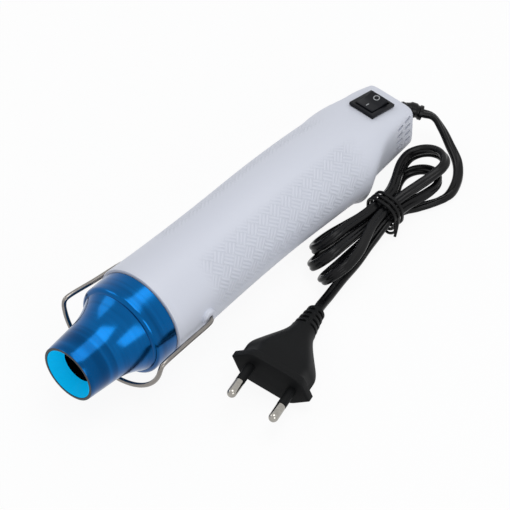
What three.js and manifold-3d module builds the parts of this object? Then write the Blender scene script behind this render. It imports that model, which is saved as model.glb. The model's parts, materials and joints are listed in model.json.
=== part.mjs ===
import * as THREE from "three";
import { mergeVertices } from "three/addons/utils/BufferGeometryUtils.js";
import Module from "manifold-3d";

// A small mains heat gun lying on its belly: millimetres, +Z up, nozzle towards -Y.
// The tool's own sizes are measured along Y from the nozzle's rim and up from its long axis.

// Clearances and facets
const FIT = 0.3;
const ROUND_SIDES = 32;
const SMALL_SIDES = 12;
const WIRE_SIDES = 6;

// Casing
const MOUTH_Y = 41.4;
const WAIST_Y = 106;
const SWELL_Y = 160;
const SHOULDER_Y = 178;
const TAIL_Y = 196;
const MOUTH_R = 21.4;
const WAIST_R = 19.5;
const SWELL_HALF = 19.9;
const SWELL_DEPTH = 21.8;
const SHOULDER_HALF = 14.4;
const TAIL_HALF = 12;
const TAIL_DEPTH = 17.5;
const TAIL_DROP = 13.6;
const SLANT_Y = 150;
const RIDGE_Y = 156;
const SLANT = 0.65;
const TOP_BOXINESS = 7;
const BELLY_BOXINESS = 4;
const WALL = 2;
const MOUTH_EDGE = 0.6;
const TAIL_EDGE = 1;
const PARTING_Z = -11;
const RIB = 1.5;
const RIB_DEPTH = 1;

// Vent slots in the tail's sides
const VENT_ROWS = 4;
const VENT_PITCH = 3.9;
const VENT_TOP_Z = 3.4;
const VENT_HEIGHT = 1.5;
const VENT_LENGTH = 4.2;
const VENT_BRIDGE = 1.5;
const VENT_COLUMNS = 2;
const VENT_END_MARGIN = 2.6;

// Nozzle
const RIM_R = 12.5;
const RIM_INNER_R = 10.6;
const THROAT_R = 7.5;
const THROAT_Y = 6;
const THROAT_LIP = 1.2;
const TIP_END_Y = 15;
const TIP_END_R = 13.7;
const FLARE_END_Y = 29;
const FLARE_END_R = 18.4;
const SKIRT_R = 20.3;
const SKIRT_ROUND = 1.9;
const NOZZLE_WALL = 1.2;
const SPIGOT_LENGTH = 11;
const GROOVE_OFFSET = 4.5;
const GROOVE_DEPTH = 0.9;
const FLARE_STEPS = 7;

// Heating element
const SLEEVE_R = 14.4;
const SLEEVE_WALL = 0.6;
const SLEEVE_END_Y = 70;
const HOLDER_WIDTH = 4;
const COIL_R = 12.2;
const COIL_WIRE = 0.9;
const COIL_TURNS = 9;
const COIL_STEPS = 10;
const FORMER_THICK = 1;
const FORMER_TAB = 4;
const CUTOUT_LENGTH = 7;
const CUTOUT_WIDTH = 4;
const CUTOUT_THICK = 3;

// Blower
const MOTOR_R = 10;
const MOTOR_OFFSET = 27;
const MOTOR_LENGTH = 28;
const CAP_LENGTH = 3;
const TAB_LENGTH = 3.2;
const TAB_WIDTH = 2.4;
const TAB_THICK = 0.8;
const TAB_SPREAD = 6;
const SHAFT_R = 1;
const SHROUD_R = 14.3;
const SHROUD_WALL = 0.9;
const SHROUD_FRONT = 13;
const SEAT_WALL = 1.2;
const SEAT_LENGTH = 9;
const MOUNT_FEET = 3;
const FOOT_WIDTH = 3;
const FOOT_LENGTH = 6;
const FAN_R = 13;
const FAN_HUB_R = 4;
const FAN_LENGTH = 7;
const FAN_GAP = 2;
const FAN_BLADES = 7;
const BLADE_THICK = 1;
const BLADE_PITCH = 0.7;

// Rectifier
const BOARD_R = 9.5;
const BOARD_THICK = 1.6;
const DIODE_R = 1.35;
const DIODE_LENGTH = 5;
const DIODE_SPREAD = 3.6;

// Rocker switch
const SWITCH_Y = 182.6;
const BEZEL_LENGTH = 14.6;
const BEZEL_WIDTH = 12.8;
const BEZEL_THICK = 1.4;
const BEZEL_CORNER = 0.5;
const HOUSING_LENGTH = 13.2;
const HOUSING_WIDTH = 11.4;
const HOUSING_DEPTH = 11;
const ROCKER_LENGTH = 10.4;
const ROCKER_WIDTH = 8.6;
const ROCKER_TOP = 2.5;
const ROCKER_DROP = 1.9;
const ROCKER_ANGLE = THREE.MathUtils.degToRad(9);
const ROCKER_ROOT = 3;
const TRUNNION_R = 0.9;
const TRUNNION_LENGTH = 0.6;
const WELL_DEPTH = 6.2;
const TERMINAL_LENGTH = 4;
const TERMINAL_WIDTH = 3.4;
const TERMINAL_SPREAD = 3.6;

// Case screws
const SCREW_X = 8;
const SCREW_OFFSET = 8;
const SCREW_REAR_Y = 147;
const SCREW_R = 1.1;
const SCREW_BITE = 9;
const HEAD_R = 2.2;
const HEAD_HEIGHT = 1.6;
const PILLAR_R = 2.9;
const SEAT_DROP = 2.2;

// Wire stand
const WIRE_R = 1;
const BAIL_PIVOT_Y = 58.5;
const BAIL_PIVOT_HALF = 23.6;
const BAIL_ARM = 33.4;
const BAIL_HALF = 26;
const BAIL_DROP = 22.8;
const BAIL_STEPS = 24;
const BAIL_REST = THREE.MathUtils.degToRad(-5.2);
const BAIL_GRIP = 3.2;
const BOSS_R = 3.3;
const BOSS_REACH = 1.6;

// Mains lead and its boot
const CORD_R = 1.9;
const CORD_SIDES = 8;
const BOOT_Z = -6;
const BOOT_R = 3.5;
const BOOT_END_R = 3.2;
const BOOT_INNER = 4;
const BOOT_FLANGE = 0.9;
const BOOT_RIBS = 3;
const BOOT_RIB_DEPTH = 0.5;
const LEAD_R = 0.8;
const LEAD_LIFT = 3;

// Tied hank: seven strands packed at the waist, with front folds that stand leaning and rear ones in a pile
const HANK_X = 28.2;
const HANK_Y = 60.8;
const HANK_RUN = 14;
const STRAND_PITCH = 4.5;
const STRAND_RISE = 3.89;
const FRONT_FOLD = 7.8;
const FRONT_LEAN = THREE.MathUtils.degToRad(51);
const FRONT_REACH = [34.9, 42.4, 45.5];
const FRONT_SHIFT = [-7.05, -1.63, 6.85];
const REAR_FOLD = [9.3, 8.4, 8.4];
const REAR_LEAN = THREE.MathUtils.degToRad(13.9);
const REAR_REACH = [35.8, 38.4, 32.7];
const REAR_SHIFT = [-1.9, -4, -2];
const REAR_STEP = 4.8;
const LEAD_X = 39.2;
const LEAD_SPREAD = 28;
const RUN_STEPS = 4;
const FOLD_STEPS = 5;
const HANK_SIDES = 6;
const LEAST_GAP = 0.4;
const TIE_THICK = 1.1;
const TIE_WIDTH = 6;
const TIE_END = 9;

// Two-pin plug
const PLUG_X = 54.6;
const PLUG_Y = -40.9;
const PLUG_TURN = THREE.MathUtils.degToRad(17.2);
const PLUG_ROLL = THREE.MathUtils.degToRad(16);
const PLUG_PITCH = THREE.MathUtils.degToRad(-9);
const PLUG_HALF = 17.7;
const PLUG_PLATE = 4;
const PLUG_STEP = 2.4;
const PLUG_THICK = 13.7;
const PLUG_LENGTH = 32.5;
const PLUG_NECK_R = 5.4;
const PLUG_BOOT = 13;
const PLUG_BOOT_END_R = 3.9;
const PLUG_RIBS = 4;
const PLUG_RIB_DEPTH = 0.8;
const PLUG_SIDES = 24;
const PLUG_FLAT = 0.62;
const PIN_R = 2;
const PIN_LENGTH = 19;
const PIN_SLEEVE = 10;
const PIN_SPACING = 18.8;
const PIN_CORE_R = 1.2;
const PIN_ROOT = 4;

// Places that follow from the sizes above
const TOOL_CENTRE_Y = TAIL_Y / 2;
const AXIS_HEIGHT = SWELL_DEPTH;
const SPIGOT_END_Y = MOUTH_Y + SPIGOT_LENGTH;
const SPIGOT_R = bodyRadius(SPIGOT_END_Y) - WALL - FIT;
const HOLDER_Y = SLEEVE_END_Y - HOLDER_WIDTH;
const MOTOR_Y = SLEEVE_END_Y + MOTOR_OFFSET;
const SCREW_FRONT_Y = SLEEVE_END_Y + SCREW_OFFSET;
const MOTOR_END_Y = MOTOR_Y + MOTOR_LENGTH;
const CAP_END_Y = MOTOR_END_Y + FIT + CAP_LENGTH;
const BOARD_Y = CAP_END_Y + TAB_LENGTH + FIT;
const FOOT_Y = MOTOR_Y + 2;
const PANEL_Z = spine(SWITCH_Y);
const PANEL_TILT = Math.atan((2 * TAIL_DROP * (SWITCH_Y - WAIST_Y)) / (TAIL_Y - WAIST_Y) ** 2);
const BOOT_REACH = FIT + BOOT_FLANGE + WALL;

const wasm = await Module();
wasm.setup();

// Materials
const finish = (color, roughness, metalness = 0) =>
  new THREE.MeshStandardMaterial({ color, roughness, metalness });
const WHITE_ABS = finish(0xd3d8e2, 0.5);
const BLUE_METAL = finish(0x0a57a0, 0.2, 0.9);
const STEEL = finish(0xb9b9b6, 0.3, 1);
const NICKEL = finish(0xc9c4bb, 0.25, 1);
const BRASS = finish(0xb08d4a, 0.35, 1);
const BLACK_PLASTIC = finish(0x222326, 0.45);
const BLACK_RUBBER = finish(0x1b1b1d, 0.55);
const MICA = finish(0xa89468, 0.7);
const BOARD_GREEN = finish(0x3b6b45, 0.6);
const DIODE_BLACK = finish(0x18181a, 0.5);
const NATURAL_NYLON = finish(0xdedbd0, 0.6);
const WIRE_RED = finish(0xa52a24, 0.5);
const WIRE_BLUE = finish(0x2b4f9c, 0.5);

// A step that eases in and out between two places
function smooth(from, to, value) {
  const t = THREE.MathUtils.clamp((value - from) / (to - from), 0, 1);
  return t * t * (3 - 2 * t);
}

// Closed geometry as a solid for joins and cuts
function solid(geometry) {
  const loose = geometry.index ? geometry.toNonIndexed() : geometry;
  const bare = new THREE.BufferGeometry();
  bare.setAttribute("position", loose.getAttribute("position"));
  const merged = mergeVertices(bare, 1e-4);
  return new wasm.Manifold(
    new wasm.Mesh({
      numProp: 3,
      vertProperties: merged.attributes.position.array,
      triVerts: new Uint32Array(merged.index.array),
    }),
  );
}

// A solid back as geometry
function shaped(made) {
  const { vertProperties, triVerts } = made.getMesh();
  const geometry = new THREE.BufferGeometry();
  geometry.setAttribute("position", new THREE.BufferAttribute(vertProperties, 3));
  geometry.setIndex(new THREE.BufferAttribute(triVerts, 1));
  geometry.computeVertexNormals();
  return geometry;
}

// Joins geometries into one body
function joined(...pieces) {
  return pieces.map(solid).reduce((whole, piece) => whole.add(piece));
}

function piece(group, name, geometry, material) {
  const mesh = new THREE.Mesh(geometry, material);
  mesh.name = name;
  group.add(mesh);
  return mesh;
}

// A box centred on x, y, z
function block(width, length, height, x, y, z) {
  return new THREE.BoxGeometry(width, length, height).translate(x, y, z);
}

// A round bar along Y, X or Z from one place to another
function barY(radius, from, to, sides = SMALL_SIDES) {
  return new THREE.CylinderGeometry(radius, radius, to - from, sides).translate(0, (from + to) / 2, 0);
}

function barX(radius, from, to, sides = SMALL_SIDES) {
  return new THREE.CylinderGeometry(radius, radius, to - from, sides)
    .rotateZ(Math.PI / 2)
    .translate((from + to) / 2, 0, 0);
}

function barZ(radius, from, to, sides = SMALL_SIDES) {
  return new THREE.CylinderGeometry(radius, radius, to - from, sides)
    .rotateX(Math.PI / 2)
    .translate(0, 0, (from + to) / 2);
}

// Revolves an outline of [radius, y] points about the long axis
function lathe(outline, sides = ROUND_SIDES) {
  const points = outline.map(([radius, y]) => new THREE.Vector2(radius, y));
  if (THREE.ShapeUtils.area(points) < 0) points.reverse();
  const onAxis = points.some((point) => point.x === 0);
  while (onAxis && !(points[0].x === 0 && points.at(-1).x === 0)) points.push(points.shift());
  if (!onAxis) points.push(points[0].clone());
  return new THREE.LatheGeometry(points, sides);
}

// A square-edged ring about the long axis
function ring(inner, outer, from, to, sides = ROUND_SIDES) {
  return lathe([[inner, from], [outer, from], [outer, to], [inner, to]], sides);
}

// Skins a row of rings with as many points each, and closes both ends
function loft(rings) {
  const count = rings[0].length;
  const middle = (loop) =>
    loop.reduce((sum, point) => sum.add(point), new THREE.Vector3()).divideScalar(count);
  const points = [...rings.flat(), middle(rings[0]), middle(rings.at(-1))];
  const index = [];
  const first = rings.length * count;
  const last = (rings.length - 1) * count;
  for (let j = 0; j < count; j++) {
    const next = (j + 1) % count;
    index.push(first, next, j);
    index.push(first + 1, last + j, last + next);
    for (let i = 0; i + 1 < rings.length; i++) {
      const a = i * count;
      const b = a + count;
      index.push(a + j, a + next, b + j);
      index.push(a + next, b + next, b + j);
    }
  }
  const geometry = new THREE.BufferGeometry().setFromPoints(points);
  geometry.setIndex(index);
  geometry.computeVertexNormals();
  return geometry;
}

// A round section carried along a row of points, square at both ends
function sweep(points, radius, sides) {
  const radiusAt = typeof radius === "function" ? radius : () => radius;
  const side = new THREE.Vector3(0.31, 0.17, 0.93);
  const along = new THREE.Vector3();
  const rings = points.map((point, i) => {
    const before = points[Math.max(i - 1, 0)];
    const after = points[Math.min(i + 1, points.length - 1)];
    along.subVectors(after, before).normalize();
    side.addScaledVector(along, -side.dot(along)).normalize();
    const other = new THREE.Vector3().crossVectors(along, side);
    return Array.from({ length: sides }, (_, j) => {
      const turn = (2 * Math.PI * j) / sides;
      return point
        .clone()
        .addScaledVector(side, radiusAt(i) * Math.cos(turn))
        .addScaledVector(other, radiusAt(i) * Math.sin(turn));
    });
  });
  return loft(rings);
}

// Evenly spaced points on a smooth curve through the given places
function route(places, steps) {
  const points = places.map((place) => new THREE.Vector3(...place));
  const curve = new THREE.CatmullRomCurve3(points, false, "centripetal");
  return curve.getSpacedPoints(steps);
}

// An outline in the Y-Z plane given thickness along X
function across(outline, width) {
  const shape = new THREE.Shape(outline.map(([y, z]) => new THREE.Vector2(y, z)));
  const geometry = new THREE.ExtrudeGeometry(shape, { depth: width, bevelEnabled: false });
  geometry.translate(0, 0, -width / 2);
  const axes = [new THREE.Vector3(0, 1, 0), new THREE.Vector3(0, 0, 1), new THREE.Vector3(1, 0, 0)];
  return geometry.applyMatrix4(new THREE.Matrix4().makeBasis(...axes));
}

// Casing form

// Radius of the round front of the casing
function bodyRadius(y) {
  const towardMouth = Math.max(0, (WAIST_Y - y) / (WAIST_Y - MOUTH_Y));
  return WAIST_R + (MOUTH_R - WAIST_R) * towardMouth ** 2;
}

// Height of the casing's top line, which falls away behind the waist
function spine(y) {
  const behind = Math.max(0, (y - WAIST_Y) / (TAIL_Y - WAIST_Y));
  return bodyRadius(y) - TAIL_DROP * behind ** 2;
}

// How far a section leans: the shoulder starts lower and further forward than the top
function leanAt(station) {
  return SLANT * smooth(SLANT_Y, SHOULDER_Y, station) * (1 - smooth(SHOULDER_Y, TAIL_Y, station));
}

function sectionAt(station) {
  const swell = smooth(WAIST_Y, SWELL_Y, station);
  const shoulder = smooth(SWELL_Y, SHOULDER_Y, station);
  const taper = Math.max(0, (station - SHOULDER_Y) / (TAIL_Y - SHOULDER_Y));
  const ridge = smooth(RIDGE_Y, TAIL_Y, station);
  const keel = smooth(SLANT_Y, SHOULDER_Y, station);
  const round = bodyRadius(station);
  const lean = leanAt(station);
  let top = spine(station);
  for (let pass = 0; pass < 5; pass++) top = spine(station + lean * top);
  return {
    lean,
    top,
    half:
      round +
      (SWELL_HALF - WAIST_R) * swell +
      (SHOULDER_HALF - SWELL_HALF) * shoulder +
      (TAIL_HALF - SHOULDER_HALF) * taper,
    belly: round + (SWELL_DEPTH - WAIST_R) * swell + (TAIL_DEPTH - SWELL_DEPTH) * shoulder,
    topPower: 2 + (TOP_BOXINESS - 2) * ridge,
    bellyPower: 2 + (BELLY_BOXINESS - 2) * keel,
  };
}

// One loop of the casing's skin, drawn in by an inset
function bodyLoop(station, inset) {
  const { lean, top, half, belly, topPower, bellyPower } = sectionAt(station);
  const middle = (top - belly) / 2;
  const height = (top + belly) / 2;
  return Array.from({ length: ROUND_SIDES }, (_, j) => {
    const turn = (-2 * Math.PI * j) / ROUND_SIDES;
    const c = Math.cos(turn);
    const s = Math.sin(turn);
    const power = s >= 0 ? topPower : bellyPower;
    const scale = (Math.abs(c) ** power + Math.abs(s) ** power) ** (-1 / power);
    const z = middle + (height - inset) * s * scale;
    return new THREE.Vector3((half - inset) * c * scale, station + lean * z, z);
  });
}

// Stations along the casing, closer together where its form changes
function stations(from, to) {
  const rows = [from];
  const coarse = 16;
  const fine = 4.5;
  for (let y = MOUTH_Y + coarse / 2; y < SLANT_Y; y += coarse) rows.push(y);
  for (let y = SLANT_Y; y < to - 1; y += y < SWELL_Y - coarse ? coarse / 2 : fine) rows.push(y);
  rows.push(to);
  return rows;
}

function bodySolid() {
  const loops = stations(MOUTH_Y + MOUTH_EDGE, TAIL_Y - TAIL_EDGE).map((y) => bodyLoop(y, 0));
  loops.unshift(bodyLoop(MOUTH_Y, MOUTH_EDGE));
  loops.push(bodyLoop(TAIL_Y - TAIL_EDGE * 0.3, TAIL_EDGE * 0.3));
  loops.push(bodyLoop(TAIL_Y, TAIL_EDGE));
  return solid(loft(loops));
}

function cavitySolid() {
  const loops = stations(MOUTH_Y, TAIL_Y - WALL).map((y) => bodyLoop(y, WALL));
  loops.unshift(bodyLoop(MOUTH_Y - 2, WALL));
  return solid(loft(loops));
}

// Locating ribs round the inside of the casing
function insideRib(from, inner) {
  return solid(ring(inner, bodyRadius(from + RIB) - WALL / 2, from, from + RIB));
}

const GROOVE_Y = MOUTH_Y + GROOVE_OFFSET;
const GROOVE_R = SPIGOT_R - GROOVE_DEPTH;
const innerRadius = (y) => bodyRadius(y) - WALL;

function ribs() {
  const grips = (from, to) => [
    insideRib(from - FIT - RIB, innerRadius(from) - RIB_DEPTH),
    insideRib(to + FIT, innerRadius(to) - RIB_DEPTH),
  ];
  return [
    insideRib(GROOVE_Y + FIT, GROOVE_R + FIT),
    ...grips(HOLDER_Y, SLEEVE_END_Y),
    ...grips(FOOT_Y, FOOT_Y + FOOT_LENGTH),
  ];
}

const SCREW_PLACES = [SCREW_FRONT_Y, SCREW_REAR_Y].flatMap((y) => [
  [-SCREW_X, y],
  [SCREW_X, y],
]);
const SEAT_Z = PARTING_Z - SEAT_DROP;

function halfSpace(above) {
  const size = 2 * TAIL_Y;
  const offset = size / 2 + FIT / 2;
  return solid(block(size, size, size, 0, TAIL_Y / 2, PARTING_Z + (above ? offset : -offset)));
}

const switchFrame = new THREE.Matrix4()
  .makeRotationX(-PANEL_TILT)
  .setPosition(0, SWITCH_Y, PANEL_Z);

// Slots in rows on both sides of the tail, stepping back with the shoulder's lean
function ventSolids() {
  const slots = [];
  for (let row = 0; row < VENT_ROWS; row++) {
    const z = VENT_TOP_Z - row * VENT_PITCH;
    for (let column = 0; column < VENT_COLUMNS; column++) {
      const back = (VENT_LENGTH + VENT_BRIDGE) * column + VENT_LENGTH / 2;
      const y = TAIL_Y - VENT_END_MARGIN - back;
      slots.push(solid(block(4 * TAIL_HALF, VENT_LENGTH, VENT_HEIGHT, 0, y, z)));
    }
  }
  return slots;
}

function makeCasing(tool) {
  const skin = bodySolid();
  const cavity = cavitySolid();
  let shell = skin.subtract(cavity);
  for (const rib of ribs()) shell = shell.add(rib);

  let upper = shell.intersect(halfSpace(true));
  let lower = shell.intersect(halfSpace(false));
  for (const [x, y] of SCREW_PLACES) {
    const pillar = solid(barZ(PILLAR_R, PARTING_Z + FIT / 2, MOUTH_R).translate(x, y, 0));
    const seat = solid(barZ(PILLAR_R, -SWELL_DEPTH, PARTING_Z - FIT / 2).translate(x, y, 0));
    const bite = PARTING_Z + SCREW_BITE + FIT;
    const pilot = solid(barZ(SCREW_R + FIT, -SWELL_DEPTH, bite).translate(x, y, 0));
    const sink = solid(barZ(HEAD_R + FIT, -SWELL_DEPTH - 1, SEAT_Z).translate(x, y, 0));
    upper = upper.add(pillar.intersect(skin)).subtract(pilot);
    lower = lower.add(seat.intersect(skin)).subtract(pilot).subtract(sink);
  }

  const bossFrom = bodyRadius(BAIL_PIVOT_Y) - WALL / 2;
  const bossTo = BAIL_PIVOT_HALF - WIRE_R - FIT;
  for (const side of [-1, 1]) {
    const boss = barX(BOSS_R, Math.min(bossFrom, bossTo), bossTo);
    const hole = barX(WIRE_R + FIT, BAIL_PIVOT_HALF - BAIL_GRIP - FIT - WIRE_R, bossTo + 1);
    for (const form of [boss, hole]) {
      if (side < 0) form.rotateZ(Math.PI);
      form.translate(0, BAIL_PIVOT_Y, 0);
    }
    upper = upper.add(solid(boss)).subtract(solid(hole));
  }

  const window = block(
    HOUSING_WIDTH + 2 * FIT,
    HOUSING_LENGTH + 2 * FIT,
    2 * HOUSING_DEPTH,
    0,
    0,
    0,
  ).applyMatrix4(switchFrame);
  upper = upper.subtract(solid(window));
  for (const slot of ventSolids()) {
    const core = solid(block(2 * (TAIL_HALF - WALL), TAIL_Y, TAIL_Y, 0, TAIL_Y, 0));
    upper = upper.subtract(slot.subtract(core));
  }
  const bootHole = barY(BOOT_R + FIT, TAIL_Y - 2 * WALL, TAIL_Y + 1).translate(0, 0, BOOT_Z);
  upper = upper.subtract(solid(bootHole));

  piece(tool, "upper_shell", shaped(upper), WHITE_ABS);
  piece(tool, "lower_shell", shaped(lower), WHITE_ABS);
}

function makeScrews(tool) {
  SCREW_PLACES.forEach(([x, y], i) => {
    const headTop = SEAT_Z - FIT;
    const shank = barZ(SCREW_R, headTop - HEAD_HEIGHT / 2, PARTING_Z + SCREW_BITE);
    const head = barZ(HEAD_R, headTop - HEAD_HEIGHT, headTop);
    const slot = block(2 * HEAD_R + 1, 0.6, 0.7, 0, 0, headTop - HEAD_HEIGHT);
    const screw = joined(shank, head).subtract(solid(slot));
    piece(tool, `case_screw_${i + 1}`, shaped(screw).translate(x, y, 0), STEEL);
  });
}

// Nozzle: a slightly conical tip, a hollow flare and a round-edged skirt
function flareOutline(offset) {
  return Array.from({ length: FLARE_STEPS + 1 }, (_, i) => {
    const t = i / FLARE_STEPS;
    const y = TIP_END_Y + (FLARE_END_Y - TIP_END_Y) * t;
    const lift = 0.25 * t + 0.75 * t ** 2;
    return [TIP_END_R + (FLARE_END_R - TIP_END_R) * lift - offset, y];
  });
}

function makeNozzle(tool) {
  const skirtEnd = MOUTH_Y - FIT;
  const outside = [
    [RIM_INNER_R, 0],
    [RIM_R - 0.3, 0],
    [RIM_R, 0.3],
    ...flareOutline(0),
    [SKIRT_R - SKIRT_ROUND * 0.35, FLARE_END_Y + SKIRT_ROUND * 0.25],
    [SKIRT_R, FLARE_END_Y + SKIRT_ROUND],
    [SKIRT_R, skirtEnd],
    [SPIGOT_R, skirtEnd],
    [SPIGOT_R, GROOVE_Y],
    [GROOVE_R, GROOVE_Y],
    [GROOVE_R, GROOVE_Y + RIB + 2 * FIT],
    [SPIGOT_R, GROOVE_Y + RIB + 2 * FIT],
    [SPIGOT_R, SPIGOT_END_Y],
  ];
  const boreR = GROOVE_R - NOZZLE_WALL;
  const inside = [
    [boreR, SPIGOT_END_Y],
    [boreR, FLARE_END_Y + NOZZLE_WALL],
    ...flareOutline(NOZZLE_WALL).reverse(),
    [THROAT_R + NOZZLE_WALL, THROAT_Y + THROAT_LIP + NOZZLE_WALL],
    [THROAT_R, THROAT_Y + THROAT_LIP],
    [THROAT_R, THROAT_Y],
  ];
  piece(tool, "nozzle", lathe([...outside, ...inside]), BLUE_METAL);
}

// Place on the flare where the inside is as wide as the heater's sleeve
function sleeveFront() {
  const outline = flareOutline(NOZZLE_WALL);
  const wide = outline.findIndex(([radius]) => radius > SLEEVE_R + FIT);
  const [r0, y0] = outline[wide - 1];
  const [r1, y1] = outline[wide];
  return y0 + ((y1 - y0) * (SLEEVE_R + FIT - r0)) / (r1 - r0);
}

function makeHeater(tool) {
  const front = sleeveFront();
  const sleeveInner = SLEEVE_R - SLEEVE_WALL;
  piece(tool, "heater_sleeve", ring(sleeveInner, SLEEVE_R, front, SLEEVE_END_Y - FIT), MICA);

  const holderR = innerRadius(HOLDER_Y + HOLDER_WIDTH) - FIT;
  const lip = ring(SLEEVE_R + FIT, holderR, HOLDER_Y, SLEEVE_END_Y);
  piece(tool, "heater_holder", lip, MICA);

  const core = COIL_R * Math.cos(Math.PI / COIL_STEPS) - COIL_WIRE / 2 - FIT;
  const tabs = sleeveInner - FIT;
  const length = SLEEVE_END_Y - front;
  const middle = (front + SLEEVE_END_Y) / 2;
  const plate = (turn) => [
    block(2 * core, length, FORMER_THICK, 0, middle, 0).rotateY(turn),
    block(2 * tabs, FORMER_TAB, FORMER_THICK, 0, front + FORMER_TAB / 2, 0).rotateY(turn),
    block(2 * tabs, FORMER_TAB, FORMER_THICK, 0, SLEEVE_END_Y - FORMER_TAB / 2, 0).rotateY(turn),
  ];
  const cross = joined(...plate(0), ...plate(Math.PI / 2));
  piece(tool, "heater_former", shaped(cross), MICA);

  const from = front + FORMER_TAB + COIL_WIRE;
  const to = SLEEVE_END_Y - FORMER_TAB - COIL_WIRE - CUTOUT_LENGTH;
  const steps = COIL_TURNS * COIL_STEPS;
  const windings = Array.from({ length: steps + 1 }, (_, i) => {
    const turn = (2 * Math.PI * i) / COIL_STEPS;
    const y = from + ((to - from) * i) / steps;
    return new THREE.Vector3(COIL_R * Math.cos(turn), y, COIL_R * Math.sin(turn));
  });
  const gap = (to - from) / COIL_TURNS - COIL_WIRE;
  console.log(`heater coil: least gap ${gap.toFixed(2)} mm between turns`);
  piece(tool, "heater_coil", sweep(windings, COIL_WIRE / 2, 5), NICKEL);

  const cutoutX = FORMER_THICK / 2 + FIT + CUTOUT_WIDTH / 2;
  const cutoutZ = FORMER_THICK / 2 + FIT + CUTOUT_THICK / 2;
  const cutoutY = SLEEVE_END_Y - FORMER_TAB - CUTOUT_LENGTH / 2;
  const body = block(CUTOUT_WIDTH, CUTOUT_LENGTH, CUTOUT_THICK, cutoutX, cutoutY, cutoutZ);
  piece(tool, "thermal_cutout", body, STEEL);
}

function makeBlower(tool, rotor) {
  const bore = SHAFT_R + FIT;
  const edge = 1;
  const can = lathe([
    [bore, MOTOR_Y],
    [MOTOR_R - edge, MOTOR_Y],
    [MOTOR_R, MOTOR_Y + edge],
    [MOTOR_R, MOTOR_END_Y],
    [bore, MOTOR_END_Y],
  ]);
  piece(tool, "motor_can", can, STEEL);

  const capFrom = MOTOR_END_Y + FIT;
  const tab = (side) =>
    block(TAB_WIDTH, TAB_LENGTH + 1, TAB_THICK, side * TAB_SPREAD, CAP_END_Y + TAB_LENGTH / 2 - 0.5, 0);
  const cap = joined(ring(bore, MOTOR_R - FIT, capFrom, CAP_END_Y), tab(-1), tab(1));
  piece(tool, "motor_end_cap", shaped(cap), NATURAL_NYLON);

  const shroudFrom = MOTOR_Y - SHROUD_FRONT;
  const seatTo = MOTOR_Y + SEAT_LENGTH;
  const seatR = MOTOR_R + FIT;
  let mount = joined(
    ring(SHROUD_R - SHROUD_WALL, SHROUD_R, shroudFrom, seatTo),
    ring(seatR, seatR + SEAT_WALL, MOTOR_Y, seatTo),
  );
  const footR = innerRadius(FOOT_Y + FOOT_LENGTH) - FIT;
  for (let i = 0; i < MOUNT_FEET; i++) {
    const turn = Math.PI / 2 + (2 * Math.PI * i) / MOUNT_FEET;
    const reach = (from, to) =>
      block(to - from, FOOT_LENGTH, FOOT_WIDTH, (from + to) / 2, FOOT_Y + FOOT_LENGTH / 2, 0).rotateY(turn);
    mount = mount.add(solid(reach(seatR + SEAT_WALL / 2, SHROUD_R - SHROUD_WALL / 2)));
    const foot = solid(reach(SHROUD_R - SHROUD_WALL / 2, footR + 1));
    mount = mount.add(foot.intersect(solid(barY(footR, FOOT_Y, FOOT_Y + FOOT_LENGTH, ROUND_SIDES))));
  }
  piece(tool, "motor_mount", shaped(mount), NATURAL_NYLON);

  const fanTo = MOTOR_Y - FAN_GAP;
  const fanFrom = fanTo - FAN_LENGTH;
  const shaft = barY(SHAFT_R, fanFrom - 1, CAP_END_Y - FIT);
  piece(rotor, "motor_shaft", shaft, STEEL);

  const hub = ring(SHAFT_R + FIT, FAN_HUB_R, fanFrom, fanTo, SMALL_SIDES);
  let fan = solid(hub);
  const span = FAN_R - FAN_HUB_R + 1;
  for (let i = 0; i < FAN_BLADES; i++) {
    const blade = block(span, FAN_LENGTH, BLADE_THICK, 0, 0, 0)
      .rotateX(BLADE_PITCH)
      .translate(FAN_HUB_R - 1 + span / 2, (fanFrom + fanTo) / 2, 0)
      .rotateY((2 * Math.PI * i) / FAN_BLADES);
    fan = fan.add(solid(blade));
  }
  const sweptRing = ring(SHAFT_R + FIT, FAN_R, fanFrom, fanTo);
  piece(rotor, "fan_impeller", shaped(fan.intersect(solid(sweptRing))), NATURAL_NYLON);
}

function makeRectifier(tool) {
  piece(tool, "rectifier_board", barY(BOARD_R, BOARD_Y, BOARD_Y + BOARD_THICK, ROUND_SIDES), BOARD_GREEN);
  const y = BOARD_Y + BOARD_THICK + FIT + DIODE_R;
  for (let i = 0; i < 4; i++) {
    const x = (i % 2 ? 1 : -1) * DIODE_SPREAD;
    const z = (i < 2 ? 1 : -1) * DIODE_SPREAD;
    const body = barX(DIODE_R, -DIODE_LENGTH / 2, DIODE_LENGTH / 2).translate(x, y, z);
    piece(tool, `diode_${i + 1}`, body, DIODE_BLACK);
  }
}

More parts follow.
